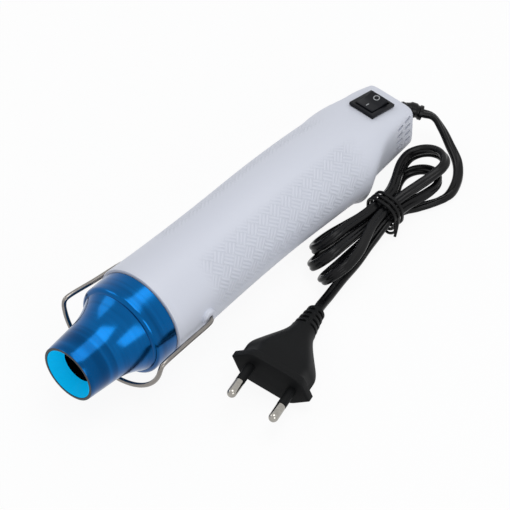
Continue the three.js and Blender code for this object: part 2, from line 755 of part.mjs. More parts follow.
// Rocker switch, square to the sloping panel
function makeSwitch(tool) {
  const panel = new THREE.Group();
  panel.position.set(0, SWITCH_Y, PANEL_Z);
  panel.rotation.x = -PANEL_TILT;
  tool.add(panel);

  const bezelTop = FIT + BEZEL_THICK;
  const pivotZ = bezelTop - ROCKER_DROP;
  const corner = BEZEL_CORNER;
  const outline = new THREE.Shape();
  const halfW = BEZEL_WIDTH / 2 - corner;
  const halfL = BEZEL_LENGTH / 2 - corner;
  outline.moveTo(-halfW, -halfL);
  outline.lineTo(halfW, -halfL);
  outline.lineTo(halfW, halfL);
  outline.lineTo(-halfW, halfL);
  const bezel = new THREE.ExtrudeGeometry(outline, {
    depth: BEZEL_THICK - corner,
    bevelThickness: corner,
    bevelSize: corner,
    bevelSegments: 2,
  }).translate(0, 0, FIT);
  const trimBelow = block(2 * BEZEL_WIDTH, 2 * BEZEL_LENGTH, 4, 0, 0, FIT - 2);
  const bodyHeight = HOUSING_DEPTH + bezelTop - corner;
  const body = block(HOUSING_WIDTH, HOUSING_LENGTH, bodyHeight, 0, 0, bezelTop - corner - bodyHeight / 2);
  const end = ROCKER_LENGTH / 2;
  const rise = end * Math.tan(ROCKER_ANGLE);
  const endSwing = end * Math.cos(ROCKER_ANGLE) + (ROCKER_TOP + rise) * Math.sin(ROCKER_ANGLE);
  const wellLength = 2 * (endSwing + FIT);
  const wellWidth = ROCKER_WIDTH + 2 * FIT;
  const well = block(wellWidth, wellLength, WELL_DEPTH, 0, 0, bezelTop + 0.5 - WELL_DEPTH / 2);
  const axle = barX(TRUNNION_R + FIT, -HOUSING_WIDTH, HOUSING_WIDTH).translate(0, 0, pivotZ);
  const shellUnder = solid(body);
  const housing = solid(bezel)
    .subtract(solid(trimBelow))
    .add(shellUnder)
    .subtract(solid(well))
    .subtract(solid(axle));
  piece(panel, "switch_housing", shaped(housing), BLACK_PLASTIC);

  const rocker = new THREE.Group();
  rocker.position.z = pivotZ;
  rocker.rotation.x = ROCKER_ANGLE;
  panel.add(rocker);
  const side = across(
    [
      [-end, ROCKER_TOP + rise],
      [-end, 0],
      [-ROCKER_ROOT / 2, -ROCKER_ROOT],
      [ROCKER_ROOT / 2, -ROCKER_ROOT],
      [end, 0],
      [end, ROCKER_TOP + rise],
      [0, ROCKER_TOP],
    ],
    ROCKER_WIDTH,
  );
  const reach = ROCKER_WIDTH / 2 + TRUNNION_LENGTH;
  const button = joined(side, barX(TRUNNION_R, -reach, reach));
  piece(rocker, "switch_rocker", shaped(button), BLACK_PLASTIC);

  const under = bezelTop - corner - bodyHeight - FIT;
  [-1, 1].forEach((place, i) => {
    const y = place * TERMINAL_SPREAD;
    const tab = block(TERMINAL_WIDTH, TAB_THICK, TERMINAL_LENGTH, 0, y, under - TERMINAL_LENGTH / 2);
    piece(panel, `switch_terminal_${i + 1}`, tab, BRASS);
  });
  panel.updateMatrix();
  return (y, drop) => new THREE.Vector3(0, y, under - drop).applyMatrix4(panel.matrix);
}

// Inner wiring along the casing's sides
function makeWiring(tool, terminal) {
  const inlet = TAIL_Y - WALL - BOOT_INNER - FIT;
  const sideX = SHROUD_R + FIT + LEAD_R;
  const midway = (SCREW_REAR_Y + inlet) / 2;
  const heaterY = SLEEVE_END_Y + 2 * FIT + RIB;
  const live = terminal(TERMINAL_SPREAD, TERMINAL_LENGTH + FIT + LEAD_R);
  const feed = terminal(-TERMINAL_SPREAD, TERMINAL_LENGTH + FIT + LEAD_R);
  const below = live.z - LEAD_LIFT;
  const spread = 1.2;
  const liveRun = route(
    [
      [spread, inlet, BOOT_Z],
      [spread, inlet - LEAD_R, BOOT_Z],
      [spread, inlet - 3, below],
      [0.5, live.y + 2, below],
      [0, live.y, live.z],
    ],
    12,
  );
  piece(tool, "lead_live", sweep(liveRun, LEAD_R, WIRE_SIDES), WIRE_RED);
  const sideRun = (side, start) =>
    route(
      [
        ...start,
        [side * sideX * 0.55, midway, below],
        [side * sideX, SCREW_REAR_Y - 2 * PILLAR_R, 0],
        [side * sideX, MOTOR_Y, 0],
        [side * sideX, heaterY, 0],
      ],
      26,
    );
  const neutral = sideRun(-1, [
    [-spread, inlet, BOOT_Z],
    [-spread, inlet - 2 * LEAD_R, BOOT_Z],
    [-2.5, inlet - 6, below - 1],
  ]);
  piece(tool, "lead_neutral", sweep(neutral, LEAD_R, WIRE_SIDES), WIRE_BLUE);
  const switched = sideRun(1, [[feed.x, feed.y, feed.z], [2, feed.y - 3, below]]);
  piece(tool, "lead_switched", sweep(switched, LEAD_R, WIRE_SIDES), WIRE_RED);
}

// Bent wire: two pivot ends, two arms that spread a little and a hanging arch
function makeStand(stand) {
  const tip = BAIL_PIVOT_HALF - BAIL_GRIP;
  const half = Array.from({ length: BAIL_STEPS / 2 + 1 }, (_, i) => {
    const turn = (Math.PI * i) / BAIL_STEPS;
    return [BAIL_HALF * Math.cos(turn), -BAIL_ARM, -BAIL_DROP * Math.sin(turn)];
  });
  const bend = 2;
  const one = [
    [tip, 0, 0],
    [BAIL_PIVOT_HALF - bend, 0, 0],
    [BAIL_PIVOT_HALF - bend * 0.3, -bend * 0.3, 0],
    [BAIL_PIVOT_HALF, -bend, 0],
    [(BAIL_PIVOT_HALF + BAIL_HALF) / 2, -BAIL_ARM / 2, 0],
    [BAIL_HALF, -BAIL_ARM + bend, 0],
    [BAIL_HALF, -BAIL_ARM + bend * 0.3, -bend * 0.3],
    ...half.slice(1).map(([x, y, z]) => [x, y, z]),
  ];
  const other = one.slice(0, -1).map(([x, y, z]) => [-x, y, z]);
  const path = [...one, ...other.reverse()].map((place) => new THREE.Vector3(...place));
  piece(stand, "stand_bail", sweep(path, WIRE_R, 10), STEEL);
}

// Boot on the lead: a stem in the tail's wall, then ribs that taper along the lead's first bend
const BOOT_ROUTE = [
  [0, TAIL_Y, BOOT_Z],
  [0.4, TAIL_Y + 4, BOOT_Z - 0.1],
  [2.6, TAIL_Y + 8.4, BOOT_Z - 0.9],
  [7.2, TAIL_Y + 11.6, BOOT_Z - 2.6],
];

function makeBoot(tool) {
  const inner = TAIL_Y - WALL - BOOT_INNER;
  const outerFlange = TAIL_Y + FIT;
  const stem = lathe(
    [
      [0, inner],
      [BOOT_R + BOOT_FLANGE, inner],
      [BOOT_R + BOOT_FLANGE, TAIL_Y - WALL - 3 * FIT],
      [BOOT_R, TAIL_Y - WALL - 3 * FIT],
      [BOOT_R, outerFlange],
      [BOOT_R + BOOT_FLANGE, outerFlange],
      [BOOT_R + BOOT_FLANGE, outerFlange + BOOT_FLANGE],
      [0, outerFlange + BOOT_FLANGE],
    ],
    2 * SMALL_SIDES,
  ).translate(0, 0, BOOT_Z);
  const steps = BOOT_RIBS * 4;
  const line = route(BOOT_ROUTE, steps);
  const radius = (i) => {
    const groove = i % 4 > 1 && i < steps ? BOOT_RIB_DEPTH : 0;
    return BOOT_R + ((BOOT_END_R - BOOT_R) * i) / steps - groove;
  };
  const boot = joined(stem, sweep(line, radius, SMALL_SIDES));
  piece(tool, "strain_relief", shaped(boot), BLACK_RUBBER);
}

// Mains lead: from the boot along the floor, through the hank's folds and out to the plug
const HANK_LIFT = TIE_THICK + 2 * FIT;
const TIE_CLEAR = TIE_WIDTH / 2 + 1;

// A strand's place in the waist, by column and row of the pack
function strand(column, row) {
  return { x: HANK_X + column * STRAND_PITCH, z: CORD_R + HANK_LIFT + row * STRAND_RISE };
}

// One fold: out from a strand's place, round a leaning arc and back to another; first is +1 from the right
function fold(ahead, first, from, to, shift, reach, radius, lean, base) {
  const straight = reach - radius;
  const middle = base + radius * Math.sin(lean);
  const at = (out, lateral) =>
    new THREE.Vector3(
      HANK_X + shift + lateral * Math.cos(lean),
      HANK_Y + ahead * out,
      middle + lateral * Math.sin(lean),
    );
  const run = (place, side) =>
    Array.from({ length: RUN_STEPS }, (_, i) => {
      const out = TIE_CLEAR + ((straight - TIE_CLEAR) * i) / RUN_STEPS;
      const start = new THREE.Vector3(place.x, HANK_Y + ahead * out, place.z);
      return start.lerp(at(out, side * radius), smooth(TIE_CLEAR, straight, out));
    });
  const arc = Array.from({ length: FOLD_STEPS + 1 }, (_, i) => {
    const turn = (Math.PI * i) / FOLD_STEPS;
    return at(straight + radius * Math.sin(turn), first * radius * Math.cos(turn));
  });
  return [...run(from, first), ...arc, ...run(to, -first).reverse()];
}

function frontFold(i, first, from, to) {
  return fold(-1, first, from, to, FRONT_SHIFT[i], FRONT_REACH[i], FRONT_FOLD, FRONT_LEAN, CORD_R);
}

// The first rear fold lies on top of the pile
function rearFold(i, first, from, to) {
  const base = CORD_R + REAR_STEP * (REAR_FOLD.length - 1 - i);
  return fold(1, first, from, to, REAR_SHIFT[i], REAR_REACH[i], REAR_FOLD[i], REAR_LEAN, base);
}

// The lead's way into the waist, at a distance behind it
function leadAt(out) {
  const place = strand(0.5, 0);
  const x = place.x + (LEAD_X - place.x) * smooth(TIE_CLEAR, LEAD_SPREAD, out);
  const z = place.z + (CORD_R - place.z) * smooth(TIE_CLEAR, HANK_RUN, out);
  return new THREE.Vector3(x, HANK_Y + out, z);
}

function hankRoute() {
  const lowLeft = strand(-0.5, 0);
  const lowRight = strand(0.5, 0);
  const midLeft = strand(-1, 1);
  const middle = strand(0, 1);
  const midRight = strand(1, 1);
  const topLeft = strand(-0.5, 2);
  const topRight = strand(0.5, 2);
  return [
    leadAt(HANK_RUN),
    leadAt((HANK_RUN + TIE_CLEAR) / 2),
    leadAt(TIE_CLEAR),
    ...frontFold(2, -1, lowRight, topRight),
    ...rearFold(0, 1, topRight, topLeft),
    ...frontFold(0, 1, topLeft, midLeft),
    ...rearFold(1, -1, midLeft, middle),
    ...frontFold(1, 1, middle, lowLeft),
    ...rearFold(2, -1, lowLeft, midRight),
    new THREE.Vector3(midRight.x, HANK_Y - TIE_CLEAR, midRight.z),
    new THREE.Vector3(midRight.x + 1.3, HANK_Y - HANK_RUN, midRight.z - 1.4),
  ];
}

// Least gap between stretches of a tube that lie more than a few diameters apart along it
function selfGap(points, radius) {
  const dense = new THREE.CatmullRomCurve3(points, false, "centripetal").getSpacedPoints(1200);
  const stride = dense[0].distanceTo(dense[1]);
  const apart = Math.ceil((8 * radius) / stride);
  let least = Infinity;
  for (let i = 0; i < dense.length; i++) {
    for (let j = i + apart; j < dense.length; j++) least = Math.min(least, dense[i].distanceTo(dense[j]));
  }
  return least - 2 * radius;
}

function makeCord(root, tool, plug) {
  const loops = hankRoute();
  const gap = selfGap(loops, CORD_R);
  const verdict = gap > LEAST_GAP ? "clear" : "too close";
  console.log(`cord hank: least gap to itself ${gap.toFixed(2)} mm, ${verdict}`);
  piece(root, "cord_hank", sweep(loops, CORD_R, HANK_SIDES), BLACK_RUBBER);

  const places = BOOT_ROUTE.map((place) => tool.localToWorld(new THREE.Vector3(...place)));
  const exit = places.at(-1);
  const line = route(BOOT_ROUTE, 40);
  const heading = line.at(-1).clone().sub(line.at(-2)).normalize();
  const from = (distance) => exit.clone().addScaledVector(heading, distance).toArray();
  const entry = loops[0];
  const lead = route(
    [
      from(FIT),
      from(FIT + 2.4 * CORD_R),
      [17.6, 110.6, 9.6],
      [23.6, 108.4, 6.2],
      [30.6, 105, 3.2],
      [36, 98.6, CORD_R],
      ...[HANK_RUN + 15, HANK_RUN + 10, HANK_RUN + 5].map((out) => leadAt(out).toArray()),
      [entry.x, entry.y + FIT, entry.z],
    ],
    22,
  );
  piece(root, "cord_lead", sweep(lead, CORD_R, CORD_SIDES), BLACK_RUBBER);

  const last = loops.at(-1);
  const leaving = last.clone().sub(loops.at(-2)).normalize();
  const plugEnd = (distance) =>
    plug.localToWorld(new THREE.Vector3(0, PLUG_LENGTH + PLUG_BOOT + distance, 0)).toArray();
  const tail = route(
    [
      last.clone().addScaledVector(leaving, FIT).toArray(),
      last.clone().addScaledVector(leaving, FIT + 2.4 * CORD_R).toArray(),
      [last.x + 1, last.y - HANK_RUN + 2, CORD_R + 0.4],
      [36.4, 24, CORD_R + 0.15],
      [38.4, 13, CORD_R + 0.2],
      plugEnd(FIT + 2.6 * CORD_R),
      plugEnd(FIT),
    ],
    16,
  );
  piece(root, "cord_tail", sweep(tail, CORD_R, CORD_SIDES), BLACK_RUBBER);
}

// Tie: a flat band round the waist, with a twisted end
function makeTie(root) {
  const half = STRAND_PITCH + CORD_R + FIT;
  const low = strand(0, 0).z - CORD_R - FIT;
  const high = strand(0, 2).z + CORD_R + FIT;
  const roundTo = half - STRAND_PITCH / 2 + FIT;
  const stadium = (grow) => {
    const shape = new THREE.Shape();
    const w = half + grow;
    const r = roundTo + grow;
    shape.moveTo(w, low - grow + r);
    shape.lineTo(w, high + grow - r);
    shape.absarc(w - r, high + grow - r, r, 0, Math.PI / 2);
    shape.absarc(-w + r, high + grow - r, r, Math.PI / 2, Math.PI);
    shape.absarc(-w + r, low - grow + r, r, Math.PI, 1.5 * Math.PI);
    shape.absarc(w - r, low - grow + r, r, 1.5 * Math.PI, 2 * Math.PI);
    return shape;
  };
  const band = stadium(TIE_THICK);
  band.holes.push(stadium(0));
  const hoop = new THREE.ExtrudeGeometry(band, { depth: TIE_WIDTH, bevelEnabled: false, curveSegments: 4 })
    .rotateX(Math.PI / 2)
    .translate(HANK_X, HANK_Y + TIE_WIDTH / 2, 0);
  const startX = HANK_X + half + TIE_THICK / 2;
  const startZ = high / 2;
  const end = route(
    [
      [startX, HANK_Y, startZ],
      [startX + 0.35 * TIE_END, HANK_Y - 0.2 * TIE_END, startZ - 0.2 * TIE_END],
      [startX + 0.5 * TIE_END, HANK_Y - 0.6 * TIE_END, startZ - 0.5 * TIE_END],
    ],
    5,
  );
  piece(root, "cord_tie", shaped(joined(hoop, sweep(end, TIE_THICK / 2 + 0.2, 6))), BLACK_RUBBER);
}

// Plug: flat six-sided face, drawn in to a ribbed boot; its pins point along the plug's own -Y
function plugLoop(y, half, thick, roundness) {
  return Array.from({ length: PLUG_SIDES }, (_, j) => {
    const turn = (-2 * Math.PI * j) / PLUG_SIDES;
    const c = Math.cos(turn);
    const s = Math.sin(turn);
    const flat = Math.abs(s);
    const slope = Math.abs(c) + (1 - PLUG_FLAT) * Math.abs(s);
    const hexagon = (flat ** 9 + slope ** 9) ** (-1 / 9);
    const scale = hexagon + (1 - hexagon) * roundness;
    return new THREE.Vector3(half * c * scale, y, thick * s * scale);
  });
}

function makePlug(plug) {
  const thick = PLUG_THICK / 2;
  const shoulder = 0.3 * PLUG_LENGTH;
  const edge = 0.7;
  const bodyHalf = PLUG_HALF - PLUG_STEP;
  const bodyThick = thick - edge / 2;
  const loops = [
    plugLoop(0, PLUG_HALF - edge, thick - edge, 0),
    plugLoop(edge, PLUG_HALF, thick, 0),
    plugLoop(PLUG_PLATE - edge / 2, PLUG_HALF, thick, 0),
    plugLoop(PLUG_PLATE, PLUG_HALF - edge / 2, thick - edge / 4, 0),
    plugLoop(PLUG_PLATE + edge / 4, bodyHalf, bodyThick, 0),
  ];
  const rows = 6;
  for (let i = 0; i <= rows; i++) {
    const t = i / rows;
    const drawn = smooth(0, 1, t);
    const half = bodyHalf + (PLUG_NECK_R - bodyHalf) * drawn;
    const deep = bodyThick + (PLUG_NECK_R - bodyThick) * drawn;
    loops.push(plugLoop(shoulder + (PLUG_LENGTH - shoulder) * t, half, deep, drawn));
  }
  const ribStep = PLUG_BOOT / PLUG_RIBS;
  for (let i = 0; i < PLUG_RIBS; i++) {
    const start = PLUG_LENGTH + ribStep * i;
    const radius = PLUG_NECK_R + ((PLUG_BOOT_END_R - PLUG_NECK_R) * (i + 1)) / PLUG_RIBS;
    const waist = radius - PLUG_RIB_DEPTH;
    loops.push(plugLoop(start + 0.15 * ribStep, waist, waist, 1));
    loops.push(plugLoop(start + 0.4 * ribStep, waist, waist, 1));
    loops.push(plugLoop(start + 0.5 * ribStep, radius, radius, 1));
    loops.push(plugLoop(start + ribStep, radius, radius, 1));
  }
  let body = solid(loft(loops));
  for (const side of [-1, 1]) {
    const x = (side * PIN_SPACING) / 2;
    const sleeve = barY(PIN_R, -PIN_SLEEVE + FIT, edge).translate(x, 0, 0);
    const bore = barY(PIN_CORE_R + FIT, -PIN_SLEEVE, PIN_ROOT + FIT).translate(x, 0, 0);
    body = body.add(solid(sleeve)).subtract(solid(bore));
  }
  piece(plug, "plug_body", shaped(body), BLACK_PLASTIC);
  for (const [side, name] of [[-1, "plug_pin_left"], [1, "plug_pin_right"]]) {
    const pin = lathe(
      [
        [0, PIN_ROOT],
        [PIN_CORE_R, PIN_ROOT],
        [PIN_CORE_R, -PIN_SLEEVE],
        [PIN_R, -PIN_SLEEVE],
        [PIN_R, -PIN_LENGTH + PIN_R],
        [PIN_R * 0.7, -PIN_LENGTH + PIN_R * 0.3],
        [0, -PIN_LENGTH],
      ],
      SMALL_SIDES,
    ).translate((side * PIN_SPACING) / 2, 0, 0);
    piece(plug, name, pin, NICKEL);
  }
  plug.position.set(PLUG_X, PLUG_Y, 0);
  plug.rotation.set(PLUG_PITCH, PLUG_ROLL, PLUG_TURN, "ZXY");
  plug.updateMatrixWorld(true);
  plug.position.z = -new THREE.Box3().setFromObject(plug, true).min.z;
  plug.updateMatrixWorld(true);
}

// Assembly
const heatGun = new THREE.Group();
const tool = new THREE.Group();
const rotor = new THREE.Group();
const stand = new THREE.Group();
const plug = new THREE.Group();
heatGun.add(tool, plug);
tool.add(rotor, stand);
tool.position.set(0, -TOOL_CENTRE_Y, AXIS_HEIGHT);
stand.position.set(0, BAIL_PIVOT_Y, 0);
stand.rotation.x = BAIL_REST;
heatGun.updateMatrixWorld(true);

makeCasing(tool);
makeScrews(tool);
makeNozzle(tool);
makeHeater(tool);
makeBlower(tool, rotor);
makeRectifier(tool);
const terminal = makeSwitch(tool);
makeBoot(tool);
makeWiring(tool, terminal);
makeStand(stand);
makePlug(plug);
makeCord(heatGun, tool, plug);
makeTie(heatGun);

export default heatGun;
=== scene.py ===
import json
from math import atan, cos, exp, hypot, pi, radians, sin, sqrt, tan

import bmesh
import bpy
from mathutils import Matrix, Vector


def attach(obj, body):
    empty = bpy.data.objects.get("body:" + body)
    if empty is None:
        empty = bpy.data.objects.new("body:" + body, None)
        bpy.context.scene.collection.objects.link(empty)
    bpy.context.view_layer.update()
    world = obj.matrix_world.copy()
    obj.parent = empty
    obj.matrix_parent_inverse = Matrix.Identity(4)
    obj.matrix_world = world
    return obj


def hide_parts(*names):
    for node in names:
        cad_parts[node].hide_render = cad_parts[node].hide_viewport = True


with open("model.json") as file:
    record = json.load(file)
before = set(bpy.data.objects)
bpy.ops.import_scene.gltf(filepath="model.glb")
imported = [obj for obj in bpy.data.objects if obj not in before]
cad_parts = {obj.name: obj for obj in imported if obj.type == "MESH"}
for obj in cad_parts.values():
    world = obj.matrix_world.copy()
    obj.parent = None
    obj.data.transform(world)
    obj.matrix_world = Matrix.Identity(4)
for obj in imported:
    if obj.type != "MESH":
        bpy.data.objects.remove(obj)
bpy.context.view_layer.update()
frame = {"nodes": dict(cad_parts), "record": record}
scene = bpy.context.scene

# Sizes in millimetres, as in the solids. The tool's own places count from the nozzle's rim and its long axis.
# FIT is the gap between two parts. TINY only keeps a division from zero.
MM = 0.001
TOOL_CENTRE_Y = 98.0
AXIS_HEIGHT = 21.8
FIT = 0.3
TINY = 1e-9


def tool_at(x, y, z):
    """A place on the tool, in metres in the frame."""
    return Vector((x, y - TOOL_CENTRE_Y, z + AXIS_HEIGHT)) * MM


def ease(start, end, value):
    """From 0 at the start to 1 at the end, smoothly, and level outside them."""
    t = min(max((value - start) / (end - start), 0.0), 1.0)
    return t * t * (3 - 2 * t)


def between(a, b, share):
    """A share of the way from one value to another."""
    return a + (b - a) * share


# Camera: a long lens from the nozzle's right, above

CAMERA_AZIMUTH = radians(41.42)
CAMERA_ELEVATION = radians(47.78)
CAMERA_DISTANCE = 1402.7
CAMERA_TARGET = (13.03, 95.16, 0.0)
CAMERA_FOCUS_PX = 3500.0
FRAME_PX = 510.0
SENSOR_WIDTH = 36.0
CLIP_END_M = 20.0


def set_camera():
    bpy.ops.object.camera_add()
    camera = bpy.context.object
    camera.name = "photo_camera"
    turn = Matrix.Rotation(CAMERA_AZIMUTH, 4, "Z") @ Matrix.Rotation(pi / 2 - CAMERA_ELEVATION, 4, "X")
    back = Matrix.Translation((0, 0, CAMERA_DISTANCE * MM))
    camera.matrix_world = Matrix.Translation(tool_at(*CAMERA_TARGET)) @ turn @ back
    camera.data.sensor_width = SENSOR_WIDTH
    camera.data.lens = SENSOR_WIDTH * CAMERA_FOCUS_PX / FRAME_PX
    camera.data.clip_end = CLIP_END_M
    scene.camera = camera


# Colour and nodes


def srgb(code):
    """An sRGB hex colour as linear RGBA."""
    parts = [int(code[i:i + 2], 16) / 255 for i in (1, 3, 5)]
    return [p / 12.92 if p <= 0.04045 else ((p + 0.055) / 1.055) ** 2.4 for p in parts] + [1.0]


def feed(tree, node, inputs):
    """Sets a node's inputs, each to a value or a link."""
    for key, value in inputs.items():
        if isinstance(value, bpy.types.NodeSocket):
            tree.links.new(value, node.inputs[key])
        else:
            node.inputs[key].default_value = value


def put(tree, kind, inputs=None, **settings):
    """Adds a node with its settings, values and links."""
    made = tree.nodes.new(kind)
    for name, value in settings.items():
        setattr(made, name, value)
    feed(tree, made, inputs or {})
    return made


def new_finish(name):
    """A new material, its nodes and its shader."""
    material = bpy.data.materials.new(name)
    material.use_nodes = True
    tree = material.node_tree
    return material, tree, tree.nodes["Principled BSDF"]


# Finishes. A pattern's scale is one over its size in metres.


def patterned(name):
    """A new finish, with the object's own places for its patterns."""
    material, tree, shader = new_finish(name)
    return material, tree, shader, put(tree, "ShaderNodeTexCoord").outputs["Object"]


def tone(tree, shader, shade, dark, light, gloss, low, high):
    """Colours a finish between two tones by one pattern, and spreads its roughness by another."""
    tones = {"Factor": shade, 6: srgb(dark), 7: srgb(light)}
    tint = put(tree, "ShaderNodeMix", tones, data_type="RGBA").outputs[2]
    rough = put(tree, "ShaderNodeMapRange", {"Value": gloss, "To Min": low, "To Max": high}).outputs[0]
    feed(tree, shader, {"Base Color": tint, "Roughness": rough})


def streaks(tree, place, size_mm, detail):
    """A cloudy pattern drawn out to a size in millimetres along X, Y and Z."""
    scale = [1 / (size * MM) for size in size_mm]
    drawn = put(tree, "ShaderNodeMapping", {"Vector": place, "Scale": scale}).outputs[0]
    return put(tree, "ShaderNodeTexNoise", {"Vector": drawn, "Scale": 1, "Detail": detail}).outputs["Fac"]


def moulded_white_abs():
    """White ABS, spark-textured in the mould: satin and faintly blue, with a basket-weave grip on both sides.
    The real grip's lines are about 1.3 mm apart and its spark texture about 0.1 mm. They are drawn at 1.6
    and 0.7 mm so that they show at this size. The lines lie three to a cell, and each cell is turned by a
    quarter from the next. Its grooves are also drawn darker in colour, as painted shade."""
    pitch = 1.6 * MM
    cell = 3 * pitch
    skin_r = 20 * MM
    material, tree, shader, place = patterned("white_abs_moulded")
    from_axis = (0, 0, -AXIS_HEIGHT * MM)
    centred = put(tree, "ShaderNodeMapping", {"Vector": place, "Location": from_axis}).outputs[0]
    part = put(tree, "ShaderNodeSeparateXYZ", {0: centred}).outputs

    # The skin unrolled from the top down each side, then turned so that the lines run at 45 degrees
    turn = put(tree, "ShaderNodeMath", {0: part["X"], 1: part["Z"]}, operation="ARCTAN2").outputs[0]
    angle = put(tree, "ShaderNodeMath", {0: turn}, operation="ABSOLUTE").outputs[0]
    arc = put(tree, "ShaderNodeMath", {0: angle, 1: skin_r}, operation="MULTIPLY").outputs[0]
    skin = put(tree, "ShaderNodeCombineXYZ", {"X": arc, "Y": part["Y"]}).outputs[0]
    weave = put(tree, "ShaderNodeMapping", {"Vector": skin, "Rotation": (0, 0, pi / 4)}).outputs[0]
    turned = put(tree, "ShaderNodeTexChecker", {"Vector": weave, "Scale": 1 / cell}).outputs["Fac"]
    lies = put(tree, "ShaderNodeSeparateXYZ", {0: weave}).outputs
    across = put(tree, "ShaderNodeMix", {"Factor": turned, 2: lies["X"], 3: lies["Y"]}).outputs[0]
    gap = put(tree, "ShaderNodeMath", {0: across, 1: pitch / 2}, operation="PINGPONG").outputs[0]
    grip = put(
        tree, "ShaderNodeMapRange", {"Value": gap, "From Max": 0.4 * pitch, "To Min": -1, "To Max": 0}
    ).outputs[0]

    # The grip fades out towards the top and the belly, and at both ends
    fades = (
        (angle, 0.36, 0.62), (angle, 1.78, 1.5),
        (part["Y"], -36 * MM, -28 * MM), (part["Y"], 66 * MM, 52 * MM),
    )
    for value, start_at, full_at in fades:
        fade = put(
            tree, "ShaderNodeMapRange", {"Value": value, "From Min": start_at, "From Max": full_at},
            interpolation_type="SMOOTHSTEP",
        ).outputs[0]
        grip = put(tree, "ShaderNodeMath", {0: grip, 1: fade}, operation="MULTIPLY").outputs[0]

    spark, wide = 1 / (0.7 * MM), 1 / (55 * MM)
    grain = put(tree, "ShaderNodeTexNoise", {"Vector": place, "Scale": spark, "Detail": 3}).outputs["Fac"]
    cloud = put(tree, "ShaderNodeTexNoise", {"Vector": place, "Scale": wide, "Detail": 2}).outputs["Fac"]
    pale, cool, shaded = srgb("#D8DCE7"), srgb("#D3D7E4"), srgb("#B4BAC8")
    tint = put(tree, "ShaderNodeMix", {"Factor": cloud, 6: cool, 7: pale}, data_type="RGBA").outputs[2]
    # Painted shade: the grip's grooves are drawn darker, mixed towards the shaded tone
    shade = put(tree, "ShaderNodeMath", {0: grip, 1: -0.35}, operation="MULTIPLY").outputs[0]
    painted_groove_shade = put(tree, "ShaderNodeMix", {"Factor": shade, 6: tint, 7: shaded}, data_type="RGBA").outputs[2]
    rough = put(tree, "ShaderNodeMapRange", {"Value": grain, "To Min": 0.42, "To Max": 0.52}).outputs[0]
    grained = put(
        tree, "ShaderNodeBump", {"Height": grain, "Strength": 0.06, "Distance": 0.1 * MM}
    ).outputs[0]
    bumped = put(
        tree, "ShaderNodeBump", {"Height": grip, "Normal": grained, "Strength": 0.55, "Distance": 0.3 * MM}
    ).outputs[0]
    feed(tree, shader, {"Base Color": painted_groove_shade, "Roughness": rough, "Normal": bumped, "IOR": 1.53})
    return material


def blue_lacquer():
    """Clear blue lacquer over spun metal: deep blue that lights up where the metal under it catches a lamp.
    Rings of darker and lighter blue about 4 mm wide are painted reflection, standing in for the dark and
    light bands that the nozzle mirrors. The spinning left marks 1.4 mm apart, which are finer on the real
    nozzle and wouldn't show."""
    material, tree, shader, place = patterned("blue_lacquer_on_metal")
    spun = streaks(tree, place, (11, 1.4, 11), 2)
    # Painted reflection: rings about 4 mm wide mix in a darker blue, for the dark and light bands it mirrors
    cloud_and_painted_bands = streaks(tree, place, (83, 3.85, 83), 1.5)
    deep, blue, light = srgb("#023F70"), srgb("#054F8A"), srgb("#0A5B98")
    thin = put(tree, "ShaderNodeMix", {"Factor": spun, 6: blue, 7: light}, data_type="RGBA").outputs[2]
    painted_reflection_band = put(
        tree, "ShaderNodeMapRange", {"Value": cloud_and_painted_bands, "From Min": 0.36, "From Max": 0.64},
        interpolation_type="SMOOTHSTEP",
    ).outputs[0]
    depth = put(tree, "ShaderNodeMix", {"Factor": painted_reflection_band, 6: deep, 7: thin}, data_type="RGBA").outputs[2]
    rough = put(tree, "ShaderNodeMapRange", {"Value": spun, "To Min": 0.15, "To Max": 0.24}).outputs[0]
    feed(tree, shader, {"Base Color": depth, "Roughness": rough, "Metallic": 1.0})
    feed(tree, shader, {"Coat Weight": 0.06, "Coat Roughness": 0.03})
    return material


def cyan_lacquer():
    """The same lacquer thin over the bright funnel inside the mouth: a flat cyan that clouds over about 6 mm.
    Its cyan glow is painted light, standing in for light coming through its thin wall."""
    material, tree, shader, place = patterned("cyan_lacquer_in_mouth")
    cloudy = 1 / (6.25 * MM)
    cloud_and_painted_bands = put(tree, "ShaderNodeTexNoise", {"Vector": place, "Scale": cloudy, "Detail": 2}).outputs["Fac"]
    tone(tree, shader, cloud_and_painted_bands, "#059BD0", "#0AA5DA", cloud_and_painted_bands, 0.28, 0.38)
    # Painted glow: the funnel gives out cyan light of its own, though it is no lamp
    glow = {"Emission Color": srgb("#00ACDC"), "Emission Strength": 0.42}
    feed(tree, shader, {"Specular IOR Level": 0.03, **glow})
    return material


def metal(name, dark, light, low, high, streak_mm):
    """Bare metal between two tones, with the streaks of its working, of that size in millimetres along X, Y
    and Z. Real streaks are about a tenth of that, too fine to show."""
    material, tree, shader, place = patterned(name)
    streak = streaks(tree, place, streak_mm, 3)
    tone(tree, shader, streak, dark, light, streak, low, high)
    feed(tree, shader, {"Metallic": 1.0})
    return material


def moulding(name, dark, light, low, high, grain_mm, bump, sheen=0.5):
    """A moulded plastic or rubber: an even colour that clouds over about 17 mm, on a grain of the given
    size, which is coarser than a real mould's 0.1 mm so that it shows. sheen is how much of the studio it
    mirrors."""
    material, tree, shader, place = patterned(name)
    fine, wide = 1 / (grain_mm * MM), 1 / (17 * MM)
    grain = put(tree, "ShaderNodeTexNoise", {"Vector": place, "Scale": fine, "Detail": 3}).outputs["Fac"]
    cloud = put(tree, "ShaderNodeTexNoise", {"Vector": place, "Scale": wide, "Detail": 2}).outputs["Fac"]
    tone(tree, shader, cloud, dark, light, grain, low, high)
    bumped = put(tree, "ShaderNodeBump", {"Height": grain, "Strength": bump, "Distance": 0.1 * MM}).outputs[0]
    feed(tree, shader, {"Normal": bumped, "Specular IOR Level": sheen})
    return material


WHITE_ABS = moulded_white_abs()
BLUE_LACQUER = blue_lacquer()
CYAN_LACQUER = cyan_lacquer()
